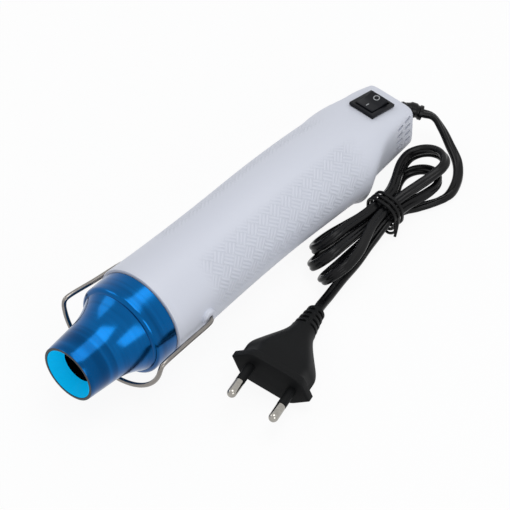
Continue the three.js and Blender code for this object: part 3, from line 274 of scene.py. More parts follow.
# Spun metal with no lacquer on it: a dull dark ring round the mouth
RIM_METAL = metal("bare_spun_rim", "#3E3F42", "#505255", 0.35, 0.5, (3.3, 3.3, 3.3))
# Spring wire drawn through a die: long bright lines along a warm grey
STAND_STEEL = metal("drawn_steel_wire", "#6E6A66", "#9C9894", 0.1, 0.2, (0.4, 5, 0.4))
# Nickel plate on turned pins: a clear mirror, a little yellow
NICKEL = metal("nickel_plate", "#88857F", "#B5B2AC", 0.06, 0.14, (1.1, 1.1, 1.1))
# Zinc-plated steel: a soft, even, bluish grey
ZINC_STEEL = metal("zinc_plated_steel", "#9B9EA2", "#B9BCC0", 0.28, 0.45, (1.4, 1.4, 1.4))
# Rolled brass strip: dull yellow with the rolls' lines in it
BRASS = metal("rolled_brass", "#A98746", "#C4A25C", 0.25, 0.4, (0.67, 3.3, 3.3))
# Resistance wire that has been hot: brown-grey and matt
RESISTANCE_WIRE = metal("oxidised_resistance_wire", "#6A6560", "#8D8780", 0.4, 0.6, (1.1, 1.1, 1.1))
# Nylon from a polished mould: blue-black, with a soft gleam along its edges
BLACK_NYLON = moulding("black_nylon_switch", "#0C0E13", "#12141A", 0.32, 0.44, 0.25, 0.05, 0.15)
# PVC moulded over the plug: black and matt, with a grain that breaks its highlights up
BLACK_PLUG = moulding("black_pvc_plug", "#0E0F10", "#131415", 0.44, 0.58, 0.5, 0.2, 0.09)
# Extruded PVC: deep black, and smooth enough for a long highlight on each bend
BLACK_SHEATH = moulding("black_pvc_sheath", "#08080A", "#0D0D0F", 0.2, 0.31, 0.8, 0.08, 0.18)
# Pad-printed ink: pale grey, thin and matt
MARK_INK = moulding("pale_marking_ink", "#9DA1A4", "#B2B5B8", 0.4, 0.5, 0.2, 0.02)
# Pressed mica sheet: brown flakes under a rough skin, its tan taken darker as painted shade deep in the
# throat
MICA_DARKENED_AS_SHADE = moulding("pressed_mica", "#6B5F45", "#8A7C5D", 0.45, 0.7, 1.2, 0.3)
# Nylon with no pigment: milky and matt
NATURAL_NYLON = moulding("natural_nylon", "#D5D1C4", "#E2DFD4", 0.45, 0.6, 0.4, 0.08)
# Solder lacquer on a board: smooth mid green
BOARD_LACQUER = moulding("green_board_lacquer", "#2F5E3A", "#3C7047", 0.3, 0.45, 0.6, 0.05)
# Moulded epoxy on the diodes: charcoal and matt
EPOXY_BLACK = moulding("black_moulding_epoxy", "#161617", "#222224", 0.4, 0.55, 0.3, 0.1)
# Silicone sleeves on the wiring: plain colours with a waxy gleam
RED_SILICONE = moulding("red_silicone_sleeve", "#8F211C", "#A52A24", 0.4, 0.55, 0.5, 0.08)
BLUE_SILICONE = moulding("blue_silicone_sleeve", "#24458B", "#2E539E", 0.4, 0.55, 0.5, 0.08)


# Modelling helpers

WELD_M = 1e-7
LINE_STEPS = 24
ROUND_SIDES = 32
START_SIDE = Vector((0.31, 0.17, 0.93))


def full_turn(sides, shift=0.0):
    """The angles of a ring's corners."""
    return [2 * pi * (j + shift) / sides for j in range(sides)]


def start(name):
    """Names the primitive that was just added."""
    piece = bpy.context.object
    piece.name = name
    piece.data.name = name
    return piece


def alone(piece):
    """Makes a piece the only one selected, and the active one."""
    bpy.ops.object.select_all(action="DESELECT")
    bpy.context.view_layer.objects.active = piece
    piece.select_set(True)


def copy_of(piece, name):
    """A copy with a mesh of its own."""
    alone(piece)
    bpy.ops.object.duplicate()
    return start(name)


def drawn_out(name, rings, closed=False):
    """A circle is extruded from ring to ring, and each new ring is set to its outline.
    An open form is capped at both ends; a closed one is bridged back to its first ring."""
    bpy.ops.mesh.primitive_circle_add(vertices=len(rings[0]), fill_type="NOTHING" if closed else "NGON")
    piece = start(name)
    bpy.ops.object.mode_set(mode="EDIT")
    mesh = bmesh.from_edit_mesh(piece.data)
    place = mesh.verts.layers.int.new("place")
    for j, vertex in enumerate(mesh.verts):
        vertex[place] = j
        vertex.co = rings[0][j]
    bmesh.update_edit_mesh(piece.data)
    bpy.ops.mesh.select_all(action="SELECT")
    for ring in rings[1:]:
        bpy.ops.mesh.extrude_region_move()
        mesh = bmesh.from_edit_mesh(piece.data)
        place = mesh.verts.layers.int["place"]
        for vertex in mesh.verts:
            if vertex.select:
                vertex.co = ring[vertex[place]]
        bmesh.update_edit_mesh(piece.data)
    if closed:
        mesh = bmesh.from_edit_mesh(piece.data)
        for edge in mesh.edges:
            edge.select_set(edge.is_boundary)
        bmesh.update_edit_mesh(piece.data)
        bpy.ops.mesh.bridge_edge_loops()
    bpy.ops.mesh.select_all(action="SELECT")
    bpy.ops.mesh.remove_doubles(threshold=WELD_M)
    bpy.ops.mesh.normals_make_consistent(inside=False)
    bpy.ops.object.mode_set(mode="OBJECT")
    piece.data.attributes.remove(piece.data.attributes["place"])
    return piece


def round_ring(radius, y, sides, z=0.0):
    """A ring about an axis along Y, in tool places."""
    return [tool_at(radius * cos(t), y, z + radius * sin(t)) for t in full_turn(sides)]


def block(name, size, centre, turn=None):
    """A box of that size in millimetres, its place in its mesh."""
    bpy.ops.mesh.primitive_cube_add(size=1)
    piece = start(name)
    piece.data.transform(Matrix.Diagonal((*size, 1)))
    piece.data.transform(Matrix.Translation(centre))
    piece.data.transform(Matrix.Scale(MM, 4))
    if turn is not None:
        piece.data.transform(turn)
    return piece


def bar(name, radius, low, high, axis, centre, sides=ROUND_SIDES):
    """A round bar along X, Y or Z in tool places, centred on the other two."""
    bpy.ops.mesh.primitive_cylinder_add(vertices=sides, radius=radius * MM, depth=(high - low) * MM)
    piece = start(name)
    if axis == "X":
        piece.data.transform(Matrix.Rotation(pi / 2, 4, "Y"))
    if axis == "Y":
        piece.data.transform(Matrix.Rotation(pi / 2, 4, "X"))
    middle = list(centre)
    middle["XYZ".index(axis)] = (low + high) / 2
    piece.data.transform(Matrix.Translation(tool_at(*middle)))
    return piece


def change(piece, kind, **settings):
    """Adds a modifier with its settings, and applies it."""
    alone(piece)
    bpy.ops.object.modifier_add(type=kind)
    made = piece.modifiers[-1]
    for name, value in settings.items():
        setattr(made, name, value)
    bpy.ops.object.modifier_apply(modifier=made.name)


def cut(piece, tool, operation="DIFFERENCE"):
    """Cuts a piece by another, or joins it on, and takes the other away."""
    change(piece, "BOOLEAN", operation=operation, solver="EXACT", object=tool)
    bpy.data.objects.remove(tool, do_unlink=True)


def soften(piece, width, segments=3, angle=35.0):
    """Rounds the edges that are sharper than an angle."""
    limit = radians(angle)
    change(piece, "BEVEL", width=width * MM, segments=segments, limit_method="ANGLE", angle_limit=limit)


def join(name, *pieces):
    """Makes one piece of several."""
    alone(pieces[0])
    for piece in pieces[1:]:
        piece.select_set(True)
    bpy.ops.object.join()
    return start(name)


def dress(piece, body, finish, nodes=(), angle=32.0):
    """Shades a finished piece, gives it its finish and seats it on its body."""
    alone(piece)
    bpy.ops.object.shade_smooth_by_angle(angle=radians(angle))
    if finish is not None:
        piece.data.materials.clear()
        piece.data.materials.append(finish)
    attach(piece, body)
    if nodes:
        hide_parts(*nodes)


def through(places, steps):
    """Points spread evenly on a smooth line through the places."""
    ends = [2 * places[0] - places[1], *places, 2 * places[-1] - places[-2]]
    fine = []
    for i in range(1, len(ends) - 2):
        p0, p1, p2, p3 = ends[i - 1:i + 3]
        d0, d1, d2 = (max(sqrt((b - a).length), TINY) for a, b in ((p0, p1), (p1, p2), (p2, p3)))
        leave = ((p1 - p0) / d0 - (p2 - p0) / (d0 + d1) + (p2 - p1) / d1) * d1
        reach = ((p2 - p1) / d1 - (p3 - p1) / (d1 + d2) + (p3 - p2) / d2) * d1
        for k in range(LINE_STEPS):
            t = k / LINE_STEPS
            fine.append(
                p1 + leave * t + (3 * (p2 - p1) - 2 * leave - reach) * t ** 2
                + (2 * (p1 - p2) + leave + reach) * t ** 3
            )
    fine.append(places[-1].copy())
    run = [0.0]
    for a, b in zip(fine, fine[1:]):
        run.append(run[-1] + (b - a).length)
    spread = []
    k = 0
    for i in range(steps + 1):
        want = run[-1] * i / steps
        while k < len(run) - 2 and run[k + 1] < want:
            k += 1
        share = (want - run[k]) / max(run[k + 1] - run[k], TINY)
        spread.append(fine[k].lerp(fine[k + 1], min(max(share, 0.0), 1.0)))
    return spread


def rings_along(line, radius_at, sides):
    """Round rings square to a line, kept from twisting. No line starts along START_SIDE."""
    side = START_SIDE
    rings = []
    for i, point in enumerate(line):
        along = (line[min(i + 1, len(line) - 1)] - line[max(i - 1, 0)]).normalized()
        side = (side - along * side.dot(along)).normalized()
        other = along.cross(side)
        reach = radius_at(i)
        rings.append([point + (side * cos(t) + other * sin(t)) * reach * MM for t in full_turn(sides)])
    return rings


# Mains lead. CORD_R is the round lead of the solids, which sets the route. The flat section drawn on that
# route is CORD_HALF to each side and CORD_THICK deep.

CORD_R = 1.9
CORD_HALF = 2.15
CORD_THICK = 2.9
CORD_SQUARENESS = 3
CORD_GROOVE = 0.35
CORD_GROOVE_WIDTH = 0.5
CORD_SIDES = 32
CORD_STEPS = 520
TIGHT_CURVE = 1 / (14 * MM)
TIGHT_FROM = 0.4
LIE_RATE = 0.1
HANK_X = 28.2
HANK_Y = 60.8
HANK_RUN = 14.0
STRAND_PITCH = 4.5
STRAND_RISE = 3.89
FRONT_FOLD = 7.8
FRONT_LEAN = radians(51)
FRONT_REACH = (34.9, 42.4, 45.5)
FRONT_SHIFT = (-7.05, -1.63, 6.85)
REAR_FOLD = (9.3, 8.4, 8.4)
REAR_LEAN = radians(13.9)
REAR_REACH = (35.8, 38.4, 32.7)
REAR_SHIFT = (-1.9, -4.0, -2.0)
REAR_STEP = 4.8
FOLD_RUN_STEPS = 4
FOLD_ARC_STEPS = 8
LEAD_X = 39.2
LEAD_SPREAD = 28.0
LEAD_ROUTE = ((17.6, 110.6, 9.6), (23.6, 108.4, 6.2), (30.6, 105, 3.2), (36, 98.6, CORD_R))
LEAD_STATIONS = (15, 10, 5, 0)
TAIL_LEAVES = (1.3, -1.4)
TAIL_LANDS = (2.3, -26.0, CORD_R + 0.4)
TAIL_ROUTE = ((36.4, 24, CORD_R + 0.15), (38.4, 13, CORD_R + 0.2))
STRAIGHT_OUT = FIT + 2.4 * CORD_R
STRAIGHT_IN = FIT + 2.6 * CORD_R
TIE_THICK = 1.1
TIE_WIDTH = 6.0
TIE_TURN_WIDTH = 1.4
HANK_LIFT = TIE_THICK + 2 * FIT
TIE_CLEAR = TIE_WIDTH / 2 + 1
TAIL_Y = 196.0
BOOT_Z = -6.0
BOOT_ROUTE = ((0.0, 0.0, 0.0), (0.4, 4.0, -0.1), (2.6, 8.4, -0.9), (7.2, 11.6, -2.6))
BOOT_LINE_STEPS = 40
PLUG_TURN = radians(17.2)
PLUG_ROLL = radians(16)
PLUG_PITCH = radians(-9)
PLUG_LENGTH = 32.5
PLUG_BOOT = 13.0
# The plug's own place: its pins point along its -Y
PLUG_FACE = next(mount["pos_m"] for mount in frame["record"]["mounts"] if mount["name"] == "plug_face")
PLUG = (
    Matrix.Translation(PLUG_FACE) @ Matrix.Rotation(PLUG_TURN, 4, "Z")
    @ Matrix.Rotation(PLUG_PITCH, 4, "X") @ Matrix.Rotation(PLUG_ROLL, 4, "Y")
)


def floor_at(x, y, z):
    """A place on the floor's own count, in metres in the frame."""
    return Vector((x, y, z)) * MM


def strand(column, row):
    """A strand's place across the tied waist, by column and row of the pack."""
    return HANK_X + column * STRAND_PITCH, CORD_R + HANK_LIFT + row * STRAND_RISE


def hank_fold(ahead, first, begin, end, shift, reach, radius, lean, base):
    """One fold of the hank: out from a strand's place, round a leaning arc and back to another."""
    straight = reach - radius
    middle = base + radius * sin(lean)

    def at(out, lateral):
        x = HANK_X + shift + lateral * cos(lean)
        return floor_at(x, HANK_Y + ahead * out, middle + lateral * sin(lean))

    def run(place, side):
        points = []
        for i in range(FOLD_RUN_STEPS):
            out = between(TIE_CLEAR, straight, i / FOLD_RUN_STEPS)
            from_waist = floor_at(place[0], HANK_Y + ahead * out, place[1])
            points.append(from_waist.lerp(at(out, side * radius), ease(TIE_CLEAR, straight, out)))
        return points

    turns = [pi * i / FOLD_ARC_STEPS for i in range(FOLD_ARC_STEPS + 1)]
    arc = [at(straight + radius * sin(t), first * radius * cos(t)) for t in turns]
    return [*run(begin, first), *arc, *reversed(run(end, -first))]


def front_fold(i, first, begin, end):
    """The front folds stand on the floor side by side."""
    return hank_fold(-1, first, begin, end, FRONT_SHIFT[i], FRONT_REACH[i], FRONT_FOLD, FRONT_LEAN, CORD_R)


def rear_fold(i, first, begin, end):
    """The first rear fold lies on top of the pile."""
    base = CORD_R + REAR_STEP * (len(REAR_FOLD) - 1 - i)
    return hank_fold(1, first, begin, end, REAR_SHIFT[i], REAR_REACH[i], REAR_FOLD[i], REAR_LEAN, base)


def lead_at(out):
    """The lead's way into the waist, at a distance behind it."""
    x, z = strand(0.5, 0)
    x = between(x, LEAD_X, ease(TIE_CLEAR, LEAD_SPREAD, out))
    z = between(z, CORD_R, ease(TIE_CLEAR, HANK_RUN, out))
    return floor_at(x, HANK_Y + out, z)


def boot_line(steps):
    """The boot's middle line, from the casing to its end."""
    return through([tool_at(x, TAIL_Y + y, BOOT_Z + z) for x, y, z in BOOT_ROUTE], steps)


def cord_places():
    """The whole lead from the boot's end to the plug: along the floor, through the hank's folds and out."""
    boot = boot_line(BOOT_LINE_STEPS)
    heading = (boot[-1] - boot[-2]).normalized()
    low_left, low_right = strand(-0.5, 0), strand(0.5, 0)
    mid_left, middle, mid_right = strand(-1, 1), strand(0, 1), strand(1, 1)
    top_left, top_right = strand(-0.5, 2), strand(0.5, 2)
    places = [
        boot[-1],
        boot[-1] + heading * STRAIGHT_OUT * MM,
        *[floor_at(*place) for place in LEAD_ROUTE],
        *[lead_at(HANK_RUN + further) for further in LEAD_STATIONS],
        lead_at((HANK_RUN + TIE_CLEAR) / 2),
        lead_at(TIE_CLEAR),
        *front_fold(2, -1, low_right, top_right),
        *rear_fold(0, 1, top_right, top_left),
        *front_fold(0, 1, top_left, mid_left),
        *rear_fold(1, -1, mid_left, middle),
        *front_fold(1, 1, middle, low_left),
        *rear_fold(2, -1, low_left, mid_right),
    ]
    right, high = mid_right
    last = floor_at(right + TAIL_LEAVES[0], HANK_Y - HANK_RUN, high + TAIL_LEAVES[1])
    places += [floor_at(right, HANK_Y - TIE_CLEAR, high), last]
    leaving = (places[-1] - places[-2]).normalized()
    end = PLUG_LENGTH + PLUG_BOOT
    places += [
        last + leaving * STRAIGHT_OUT * MM,
        floor_at(right + TAIL_LANDS[0], HANK_Y + TAIL_LANDS[1], TAIL_LANDS[2]),
        *[floor_at(*place) for place in TAIL_ROUTE],
        PLUG @ floor_at(0, end + STRAIGHT_IN, 0),
        PLUG @ floor_at(0, end, 0),
    ]
    return places


def lie_of(line):
    """The lead's wide way and thin way at each point. It lies flat on the floor where it runs on. At a bend
    of TIGHT_CURVE or more its wide way is along the bend's axis, because a flat lead bends over its thin
    side. It turns from one to the other over a few steps."""
    wide = Vector((1, 0, 0))
    ways = []
    for i, point in enumerate(line):
        before, after = line[max(i - 1, 0)], line[min(i + 1, len(line) - 1)]
        along = (after - before).normalized()
        step = max((after - before).length / 2, TINY)
        bend = (point - before).cross(after - point) / step ** 3 / TIGHT_CURVE
        flat = along.cross(Vector((0, 0, 1)))
        share = ease(TIGHT_FROM, 1.0, bend.length)
        aim = Vector()
        for way, part in ((flat, 1 - share), (bend, share)):
            if way.length > TINY:
                aim += way.normalized() * part * (1 if way.dot(wide) >= 0 else -1)
        wide = wide.lerp(aim, LIE_RATE)
        wide = (wide - along * wide.dot(along)).normalized()
        ways.append((wide.copy(), along.cross(wide)))
    return ways


def make_cord():
    """A flat twin lead: two cores side by side under one sheath, with a groove between them on both faces."""
    line = through(cord_places(), CORD_STEPS)
    for point in line:
        point.z = max(point.z, CORD_R * MM)
    section = []
    for turn in full_turn(CORD_SIDES, 0.5):
        c, s = cos(turn), sin(turn)
        out = CORD_HALF * c
        rise = CORD_THICK / 2 * (1 - abs(c) ** CORD_SQUARENESS) ** (1 / CORD_SQUARENESS)
        rise -= CORD_GROOVE * exp(-(out / CORD_GROOVE_WIDTH) ** 2)
        section.append((out * MM, (rise if s > 0 else -rise) * MM))
    rings = []
    for point, (wide, thin) in zip(line, lie_of(line)):
        ring = [point + wide * out + thin * rise for out, rise in section]
        rings.append([Vector((x, y, max(z, 0.0))) for x, y, z in ring])
    cord = drawn_out("mains_lead", rings)
    dress(cord, "body", BLACK_SHEATH, ("cord_lead", "cord_hank", "cord_tail"), angle=60)
    return cord, line


# Casing

MOUTH_Y = 41.4
WAIST_Y = 106.0
SWELL_Y = 160.0
SHOULDER_Y = 178.0
MOUTH_R = 21.4
WAIST_R = 19.5
SWELL_HALF = 19.9
SWELL_DEPTH = 21.8
SHOULDER_HALF = 14.4
TAIL_HALF = 12.0
TAIL_DEPTH = 17.5
TAIL_DROP = 13.6
SLANT_Y = 150.0
RIDGE_Y = 156.0
SLANT = 0.65
TOP_BOXINESS = 7.0
BELLY_BOXINESS = 4.0
WALL = 2.0
CUT_PAST = 2.0
MOUTH_EDGE = 0.6
MOUTH_EDGE_ROWS = ((0, 1), (0.25, 0.3))
TAIL_EDGE = 1.0
TAIL_EDGE_TURNS = (0.4, 0.8, 1.2, pi / 2)
PARTING_Z = -11.0
CASING_SIDES = 112
CASING_RINGS = 64
INSIDE_RINGS = 30
SETTLE_ROUNDS = 5


def casing_radius(y):
    """The round casing's radius, which widens from the waist to the mouth."""
    toward_mouth = max(0.0, (WAIST_Y - y) / (WAIST_Y - MOUTH_Y))
    return between(WAIST_R, MOUTH_R, toward_mouth ** 2)


def casing_top(y):
    """How high the casing's back is over the axis: it falls towards the tail."""
    behind = max(0.0, (y - WAIST_Y) / (TAIL_Y - WAIST_Y))
    return casing_radius(y) - TAIL_DROP * behind ** 2


def casing_ring(station, inset):
    """One ring of the casing's skin: round in front, boxed and leaning at the tail."""
    swell = ease(WAIST_Y, SWELL_Y, station)
    shoulder = ease(SWELL_Y, SHOULDER_Y, station)
    taper = max(0.0, (station - SHOULDER_Y) / (TAIL_Y - SHOULDER_Y))
    ridge = ease(RIDGE_Y, TAIL_Y, station)
    keel = ease(SLANT_Y, SHOULDER_Y, station)
    lean = SLANT * keel * (1 - ease(SHOULDER_Y, TAIL_Y, station))
    radius = casing_radius(station)
    top = casing_top(station)
    for _ in range(SETTLE_ROUNDS):
        top = casing_top(station + lean * top)
    half = (
        radius + (SWELL_HALF - WAIST_R) * swell + (SHOULDER_HALF - SWELL_HALF) * shoulder
        + (TAIL_HALF - SHOULDER_HALF) * taper
    )
    belly = radius + (SWELL_DEPTH - WAIST_R) * swell + (TAIL_DEPTH - SWELL_DEPTH) * shoulder
    middle = (top - belly) / 2
    height = (top + belly) / 2
    ring = []
    for turn in full_turn(CASING_SIDES):
        c, s = cos(turn), sin(turn)
        power = 2 + ((TOP_BOXINESS - 2) * ridge if s >= 0 else (BELLY_BOXINESS - 2) * keel)
        scale = (abs(c) ** power + abs(s) ** power) ** (-1 / power)
        z = middle + (height - inset) * s * scale
        ring.append(tool_at((half - inset) * c * scale, station + lean * z, z))
    return ring


SWITCH_Y = 182.6
PANEL_Z = casing_top(SWITCH_Y)
PANEL_TILT = atan(2 * TAIL_DROP * (SWITCH_Y - WAIST_Y) / (TAIL_Y - WAIST_Y) ** 2)
PANEL = Matrix.Translation(tool_at(0, SWITCH_Y, PANEL_Z)) @ Matrix.Rotation(-PANEL_TILT, 4, "X")
HOUSING_LENGTH = 13.2
HOUSING_WIDTH = 11.4
WINDOW_CUT = 22.0
VENT_ROWS = 4
VENT_COLUMNS = 2
VENT_PITCH = 3.9
VENT_TOP_Z = 3.4
VENT_HEIGHT = 1.5
VENT_LENGTH = 4.2
VENT_BRIDGE = 1.5
VENT_END_MARGIN = 2.6
VENT_ROUND = 0.7
VENT_CUT = 8.0
VENT_CUT_X = 13.0
BOOT_R = 3.5
BOOT_HOLE = (TAIL_Y - 4, TAIL_Y + 1)
SCREW_PLACES = [(x, y) for y in (78.0, 147.0) for x in (-8.0, 8.0)]
BELOW_BELLY = -24.0
SCREW_STEPS = (
    ("screw_seat", 2.9, -16.4, PARTING_Z - FIT / 2, "UNION"),
    ("screw_sink", 2.5, BELOW_BELLY, PARTING_Z - 2.2, "DIFFERENCE"),
    ("screw_hole", 1.4, BELOW_BELLY, PARTING_Z + 1, "DIFFERENCE"),
)
HALF_SPACE = 300.0
BAIL_PIVOT_Y = 58.5
BAIL_PIVOT_HALF = 23.6
WIRE_R = 1.0
BOSS_R = 3.3
BOSS_EDGE = 0.5
BOSS_SINK = 1.0
BOSS_HOLE_DEPTH = 4.5
BOSS_SIDES = 40
BOSS_HOLE_SIDES = 24


def make_casing():
    """A hollow casing with its bosses and openings, parted into the top and the belly cover."""
    front, back = MOUTH_Y + MOUTH_EDGE, TAIL_Y - TAIL_EDGE
    skin = [casing_ring(MOUTH_Y + on * MOUTH_EDGE, down * MOUTH_EDGE) for on, down in MOUTH_EDGE_ROWS]
    skin += [casing_ring(between(front, back, i / CASING_RINGS), 0.0) for i in range(CASING_RINGS + 1)]
    for turn in TAIL_EDGE_TURNS:
        skin.append(casing_ring(TAIL_Y - TAIL_EDGE * (1 - sin(turn)), TAIL_EDGE * (1 - cos(turn))))
    shell = drawn_out("casing", skin)
    deep = TAIL_Y - WALL - MOUTH_Y
    rows = [MOUTH_Y - CUT_PAST, *[MOUTH_Y + deep * i / INSIDE_RINGS for i in range(INSIDE_RINGS + 1)]]
    cut(shell, drawn_out("casing_inside", [casing_ring(y, WALL) for y in rows]))

    pivot = (0, BAIL_PIVOT_Y, 0)
    reach = BAIL_PIVOT_HALF - WIRE_R - FIT
    for side in (-1, 1):
        near, far = sorted((side * (casing_radius(BAIL_PIVOT_Y) - BOSS_SINK), side * reach))
        boss = bar("stand_boss", BOSS_R, near, far, "X", pivot, BOSS_SIDES)
        soften(boss, BOSS_EDGE)
        cut(shell, boss, "UNION")
        near, far = sorted((side * (BAIL_PIVOT_HALF - BOSS_HOLE_DEPTH), side * (reach + CUT_PAST)))
        cut(shell, bar("stand_hole", WIRE_R + FIT, near, far, "X", pivot, BOSS_HOLE_SIDES))
    window = (HOUSING_WIDTH + 2 * FIT, HOUSING_LENGTH + 2 * FIT, WINDOW_CUT)
    cut(shell, block("switch_window", window, (0, 0, 0), PANEL))
    cut(shell, bar("boot_hole", BOOT_R + FIT, *BOOT_HOLE, "Y", (0, 0, BOOT_Z)))
    for row in range(VENT_ROWS):
        for column in range(VENT_COLUMNS):
            y = TAIL_Y - VENT_END_MARGIN - (VENT_LENGTH + VENT_BRIDGE) * column - VENT_LENGTH / 2
            z = VENT_TOP_Z - VENT_PITCH * row
            for side in (-1, 1):
                place = tool_at(side * VENT_CUT_X, y, z) / MM
                slot = block("vent", (VENT_CUT, VENT_LENGTH, VENT_HEIGHT), place)
                soften(slot, VENT_ROUND, segments=4)
                cut(shell, slot)

    belly = copy_of(shell, "casing_belly")
    shell.name = "casing_top"
    space = (HALF_SPACE,) * 3
    seam = PARTING_Z + AXIS_HEIGHT
    cut(shell, block("below", space, (0, 0, seam + FIT / 2 - HALF_SPACE / 2)))
    cut(belly, block("above", space, (0, 0, seam - FIT / 2 + HALF_SPACE / 2)))
    for x, y in SCREW_PLACES:
        for name, radius, low, high, operation in SCREW_STEPS:
            cut(belly, bar(name, radius, low, high, "Z", (x, y, 0)), operation)
    dress(shell, "body", WHITE_ABS, ("upper_shell",), angle=28)
    dress(belly, "body", WHITE_ABS, ("lower_shell",), angle=28)


# Nozzle

RIM_R = 12.5
RIM_INNER_R = 11.2
RIM_EDGE = 0.3
RIM_CHAMFER = 0.08
RIM_DEPTH = 0.09
PICK_MARGIN = 0.1
MOUTH_ROUND = 0.15
THROAT_R = 7.5
THROAT_Y = 6.0
TIP_END_Y = 15.0
TIP_END_R = 13.7
FLARE_END_Y = 29.0
FLARE_END_R = 18.4
FLARE_START = 0.25
SKIRT_R = 20.3
SKIRT_ROUND = 1.9
SKIRT_ROWS = (34, 38)
SKIRT_EDGE = 0.25
NOZZLE_WALL = 1.2
NOZZLE_SIDES = 112
TIP_ROWS = 6
FLARE_ROWS = 20
BORE_ROWS = 10
ROUND_ROWS = 8
SPIGOT_END_Y = MOUTH_Y + 11
SPIGOT_R = casing_radius(SPIGOT_END_Y) - WALL - FIT
GROOVE_Y = MOUTH_Y + 4.5
GROOVE_R = SPIGOT_R - 0.9
GROOVE_END_Y = GROOVE_Y + 2.1


def flare(offset, steps):
    """The flare's line at a depth under its skin, as radius and place."""
    line = []
    for i in range(steps + 1):
        t = i / steps
        lift = FLARE_START * t + (1 - FLARE_START) * t ** 2
        line.append((between(TIP_END_R, FLARE_END_R, lift) - offset, between(TIP_END_Y, FLARE_END_Y, t)))
    return line


def make_nozzle():
    """The outline goes out from the rim, along the skin, round the spigot and back through the bore."""
    outside = [(RIM_INNER_R + MOUTH_ROUND, 0), (RIM_R - RIM_EDGE, 0)]
    outside += [(RIM_R - RIM_CHAMFER, RIM_CHAMFER), (RIM_R, RIM_EDGE)]
    for i in range(1, TIP_ROWS):
        outside.append((between(RIM_R, TIP_END_R, i / TIP_ROWS), TIP_END_Y * i / TIP_ROWS))
    outside += flare(0, FLARE_ROWS)
    for i in range(1, ROUND_ROWS + 1):
        t = pi / 2 * i / ROUND_ROWS
        outside.append((between(FLARE_END_R, SKIRT_R, sin(t)), FLARE_END_Y + SKIRT_ROUND * (1 - cos(t))))
    end = MOUTH_Y - FIT
    outside += [(SKIRT_R, y) for y in (*SKIRT_ROWS, end - SKIRT_EDGE)]
    outside += [(SKIRT_R - SKIRT_EDGE, end), (SPIGOT_R, end), (SPIGOT_R, GROOVE_Y), (GROOVE_R, GROOVE_Y)]
    outside += [(GROOVE_R, GROOVE_END_Y), (SPIGOT_R, GROOVE_END_Y), (SPIGOT_R, SPIGOT_END_Y)]
    bore = GROOVE_R - NOZZLE_WALL
    inside = [(bore, SPIGOT_END_Y), (bore, FLARE_END_Y + NOZZLE_WALL)]
    inside += reversed(flare(NOZZLE_WALL, BORE_ROWS))
    inside += [(THROAT_R + NOZZLE_WALL, THROAT_Y + 2 * NOZZLE_WALL), (THROAT_R, THROAT_Y + NOZZLE_WALL)]
    for i in range(ROUND_ROWS, 0, -1):
        inside.append((between(RIM_INNER_R, THROAT_R, i / ROUND_ROWS), THROAT_Y * i / ROUND_ROWS))
    inside += [(RIM_INNER_R, MOUTH_ROUND)]
    rings = [round_ring(r, y, NOZZLE_SIDES) for r, y in outside + inside]
    nozzle = drawn_out("nozzle_spun", rings, closed=True)
    finishes = (BLUE_LACQUER, CYAN_LACQUER, RIM_METAL)
    for finish in finishes:
        nozzle.data.materials.append(finish)
    rim, mouth = finishes.index(RIM_METAL), finishes.index(CYAN_LACQUER)
    for face in nozzle.data.polygons:
        x, y, z = face.center / MM
        radius = hypot(x, z - AXIS_HEIGHT)
        depth = y + TOOL_CENTRE_Y
        if depth < RIM_DEPTH:
            face.material_index = rim
        elif depth < THROAT_Y + PICK_MARGIN and radius < RIM_INNER_R + PICK_MARGIN:
            face.material_index = mouth
    dress(nozzle, "body", None, ("nozzle",), angle=30)


# Wire stand

BAIL_ARM = 33.4
BAIL_HALF = 26.0
BAIL_DROP = 22.8
BAIL_REST = radians(-5.2)
BAIL_GRIP = 3.2
BAIL_BEND = 2.0
BAIL_CORNER = 0.3 * BAIL_BEND
BAIL_ARC_STEPS = 13
BAIL_STEPS = 150
BAIL_SIDES = 20


def make_stand():
    """One half of the wire, from its end in the boss to the bottom of the arch, and its mirror."""
    one = [
        (BAIL_PIVOT_HALF - BAIL_GRIP, 0, 0),
        (BAIL_PIVOT_HALF - BAIL_BEND, 0, 0),
        (BAIL_PIVOT_HALF - BAIL_CORNER, -BAIL_CORNER, 0),
        (BAIL_PIVOT_HALF, -BAIL_BEND, 0),
        ((BAIL_PIVOT_HALF + BAIL_HALF) / 2, -BAIL_ARM / 2, 0),
        (BAIL_HALF, -BAIL_ARM + BAIL_BEND, 0),
        (BAIL_HALF, -BAIL_ARM + BAIL_CORNER, -BAIL_CORNER),
    ]
    for i in range(1, BAIL_ARC_STEPS + 1):
        turn = pi / 2 * i / BAIL_ARC_STEPS
        one.append((BAIL_HALF * cos(turn), -BAIL_ARM, -BAIL_DROP * sin(turn)))
    path = one + [(-x, y, z) for x, y, z in reversed(one[:-1])]
    rest = Matrix.Translation(tool_at(0, BAIL_PIVOT_Y, 0)) @ Matrix.Rotation(BAIL_REST, 4, "X")
    line = through([rest @ (Vector(p) * MM) for p in path], BAIL_STEPS)
    stand = drawn_out("stand_wire", rings_along(line, lambda i: WIRE_R, BAIL_SIDES))
    dress(stand, "stand", STAND_STEEL, ("stand_bail",), angle=40)


# Rocker switch

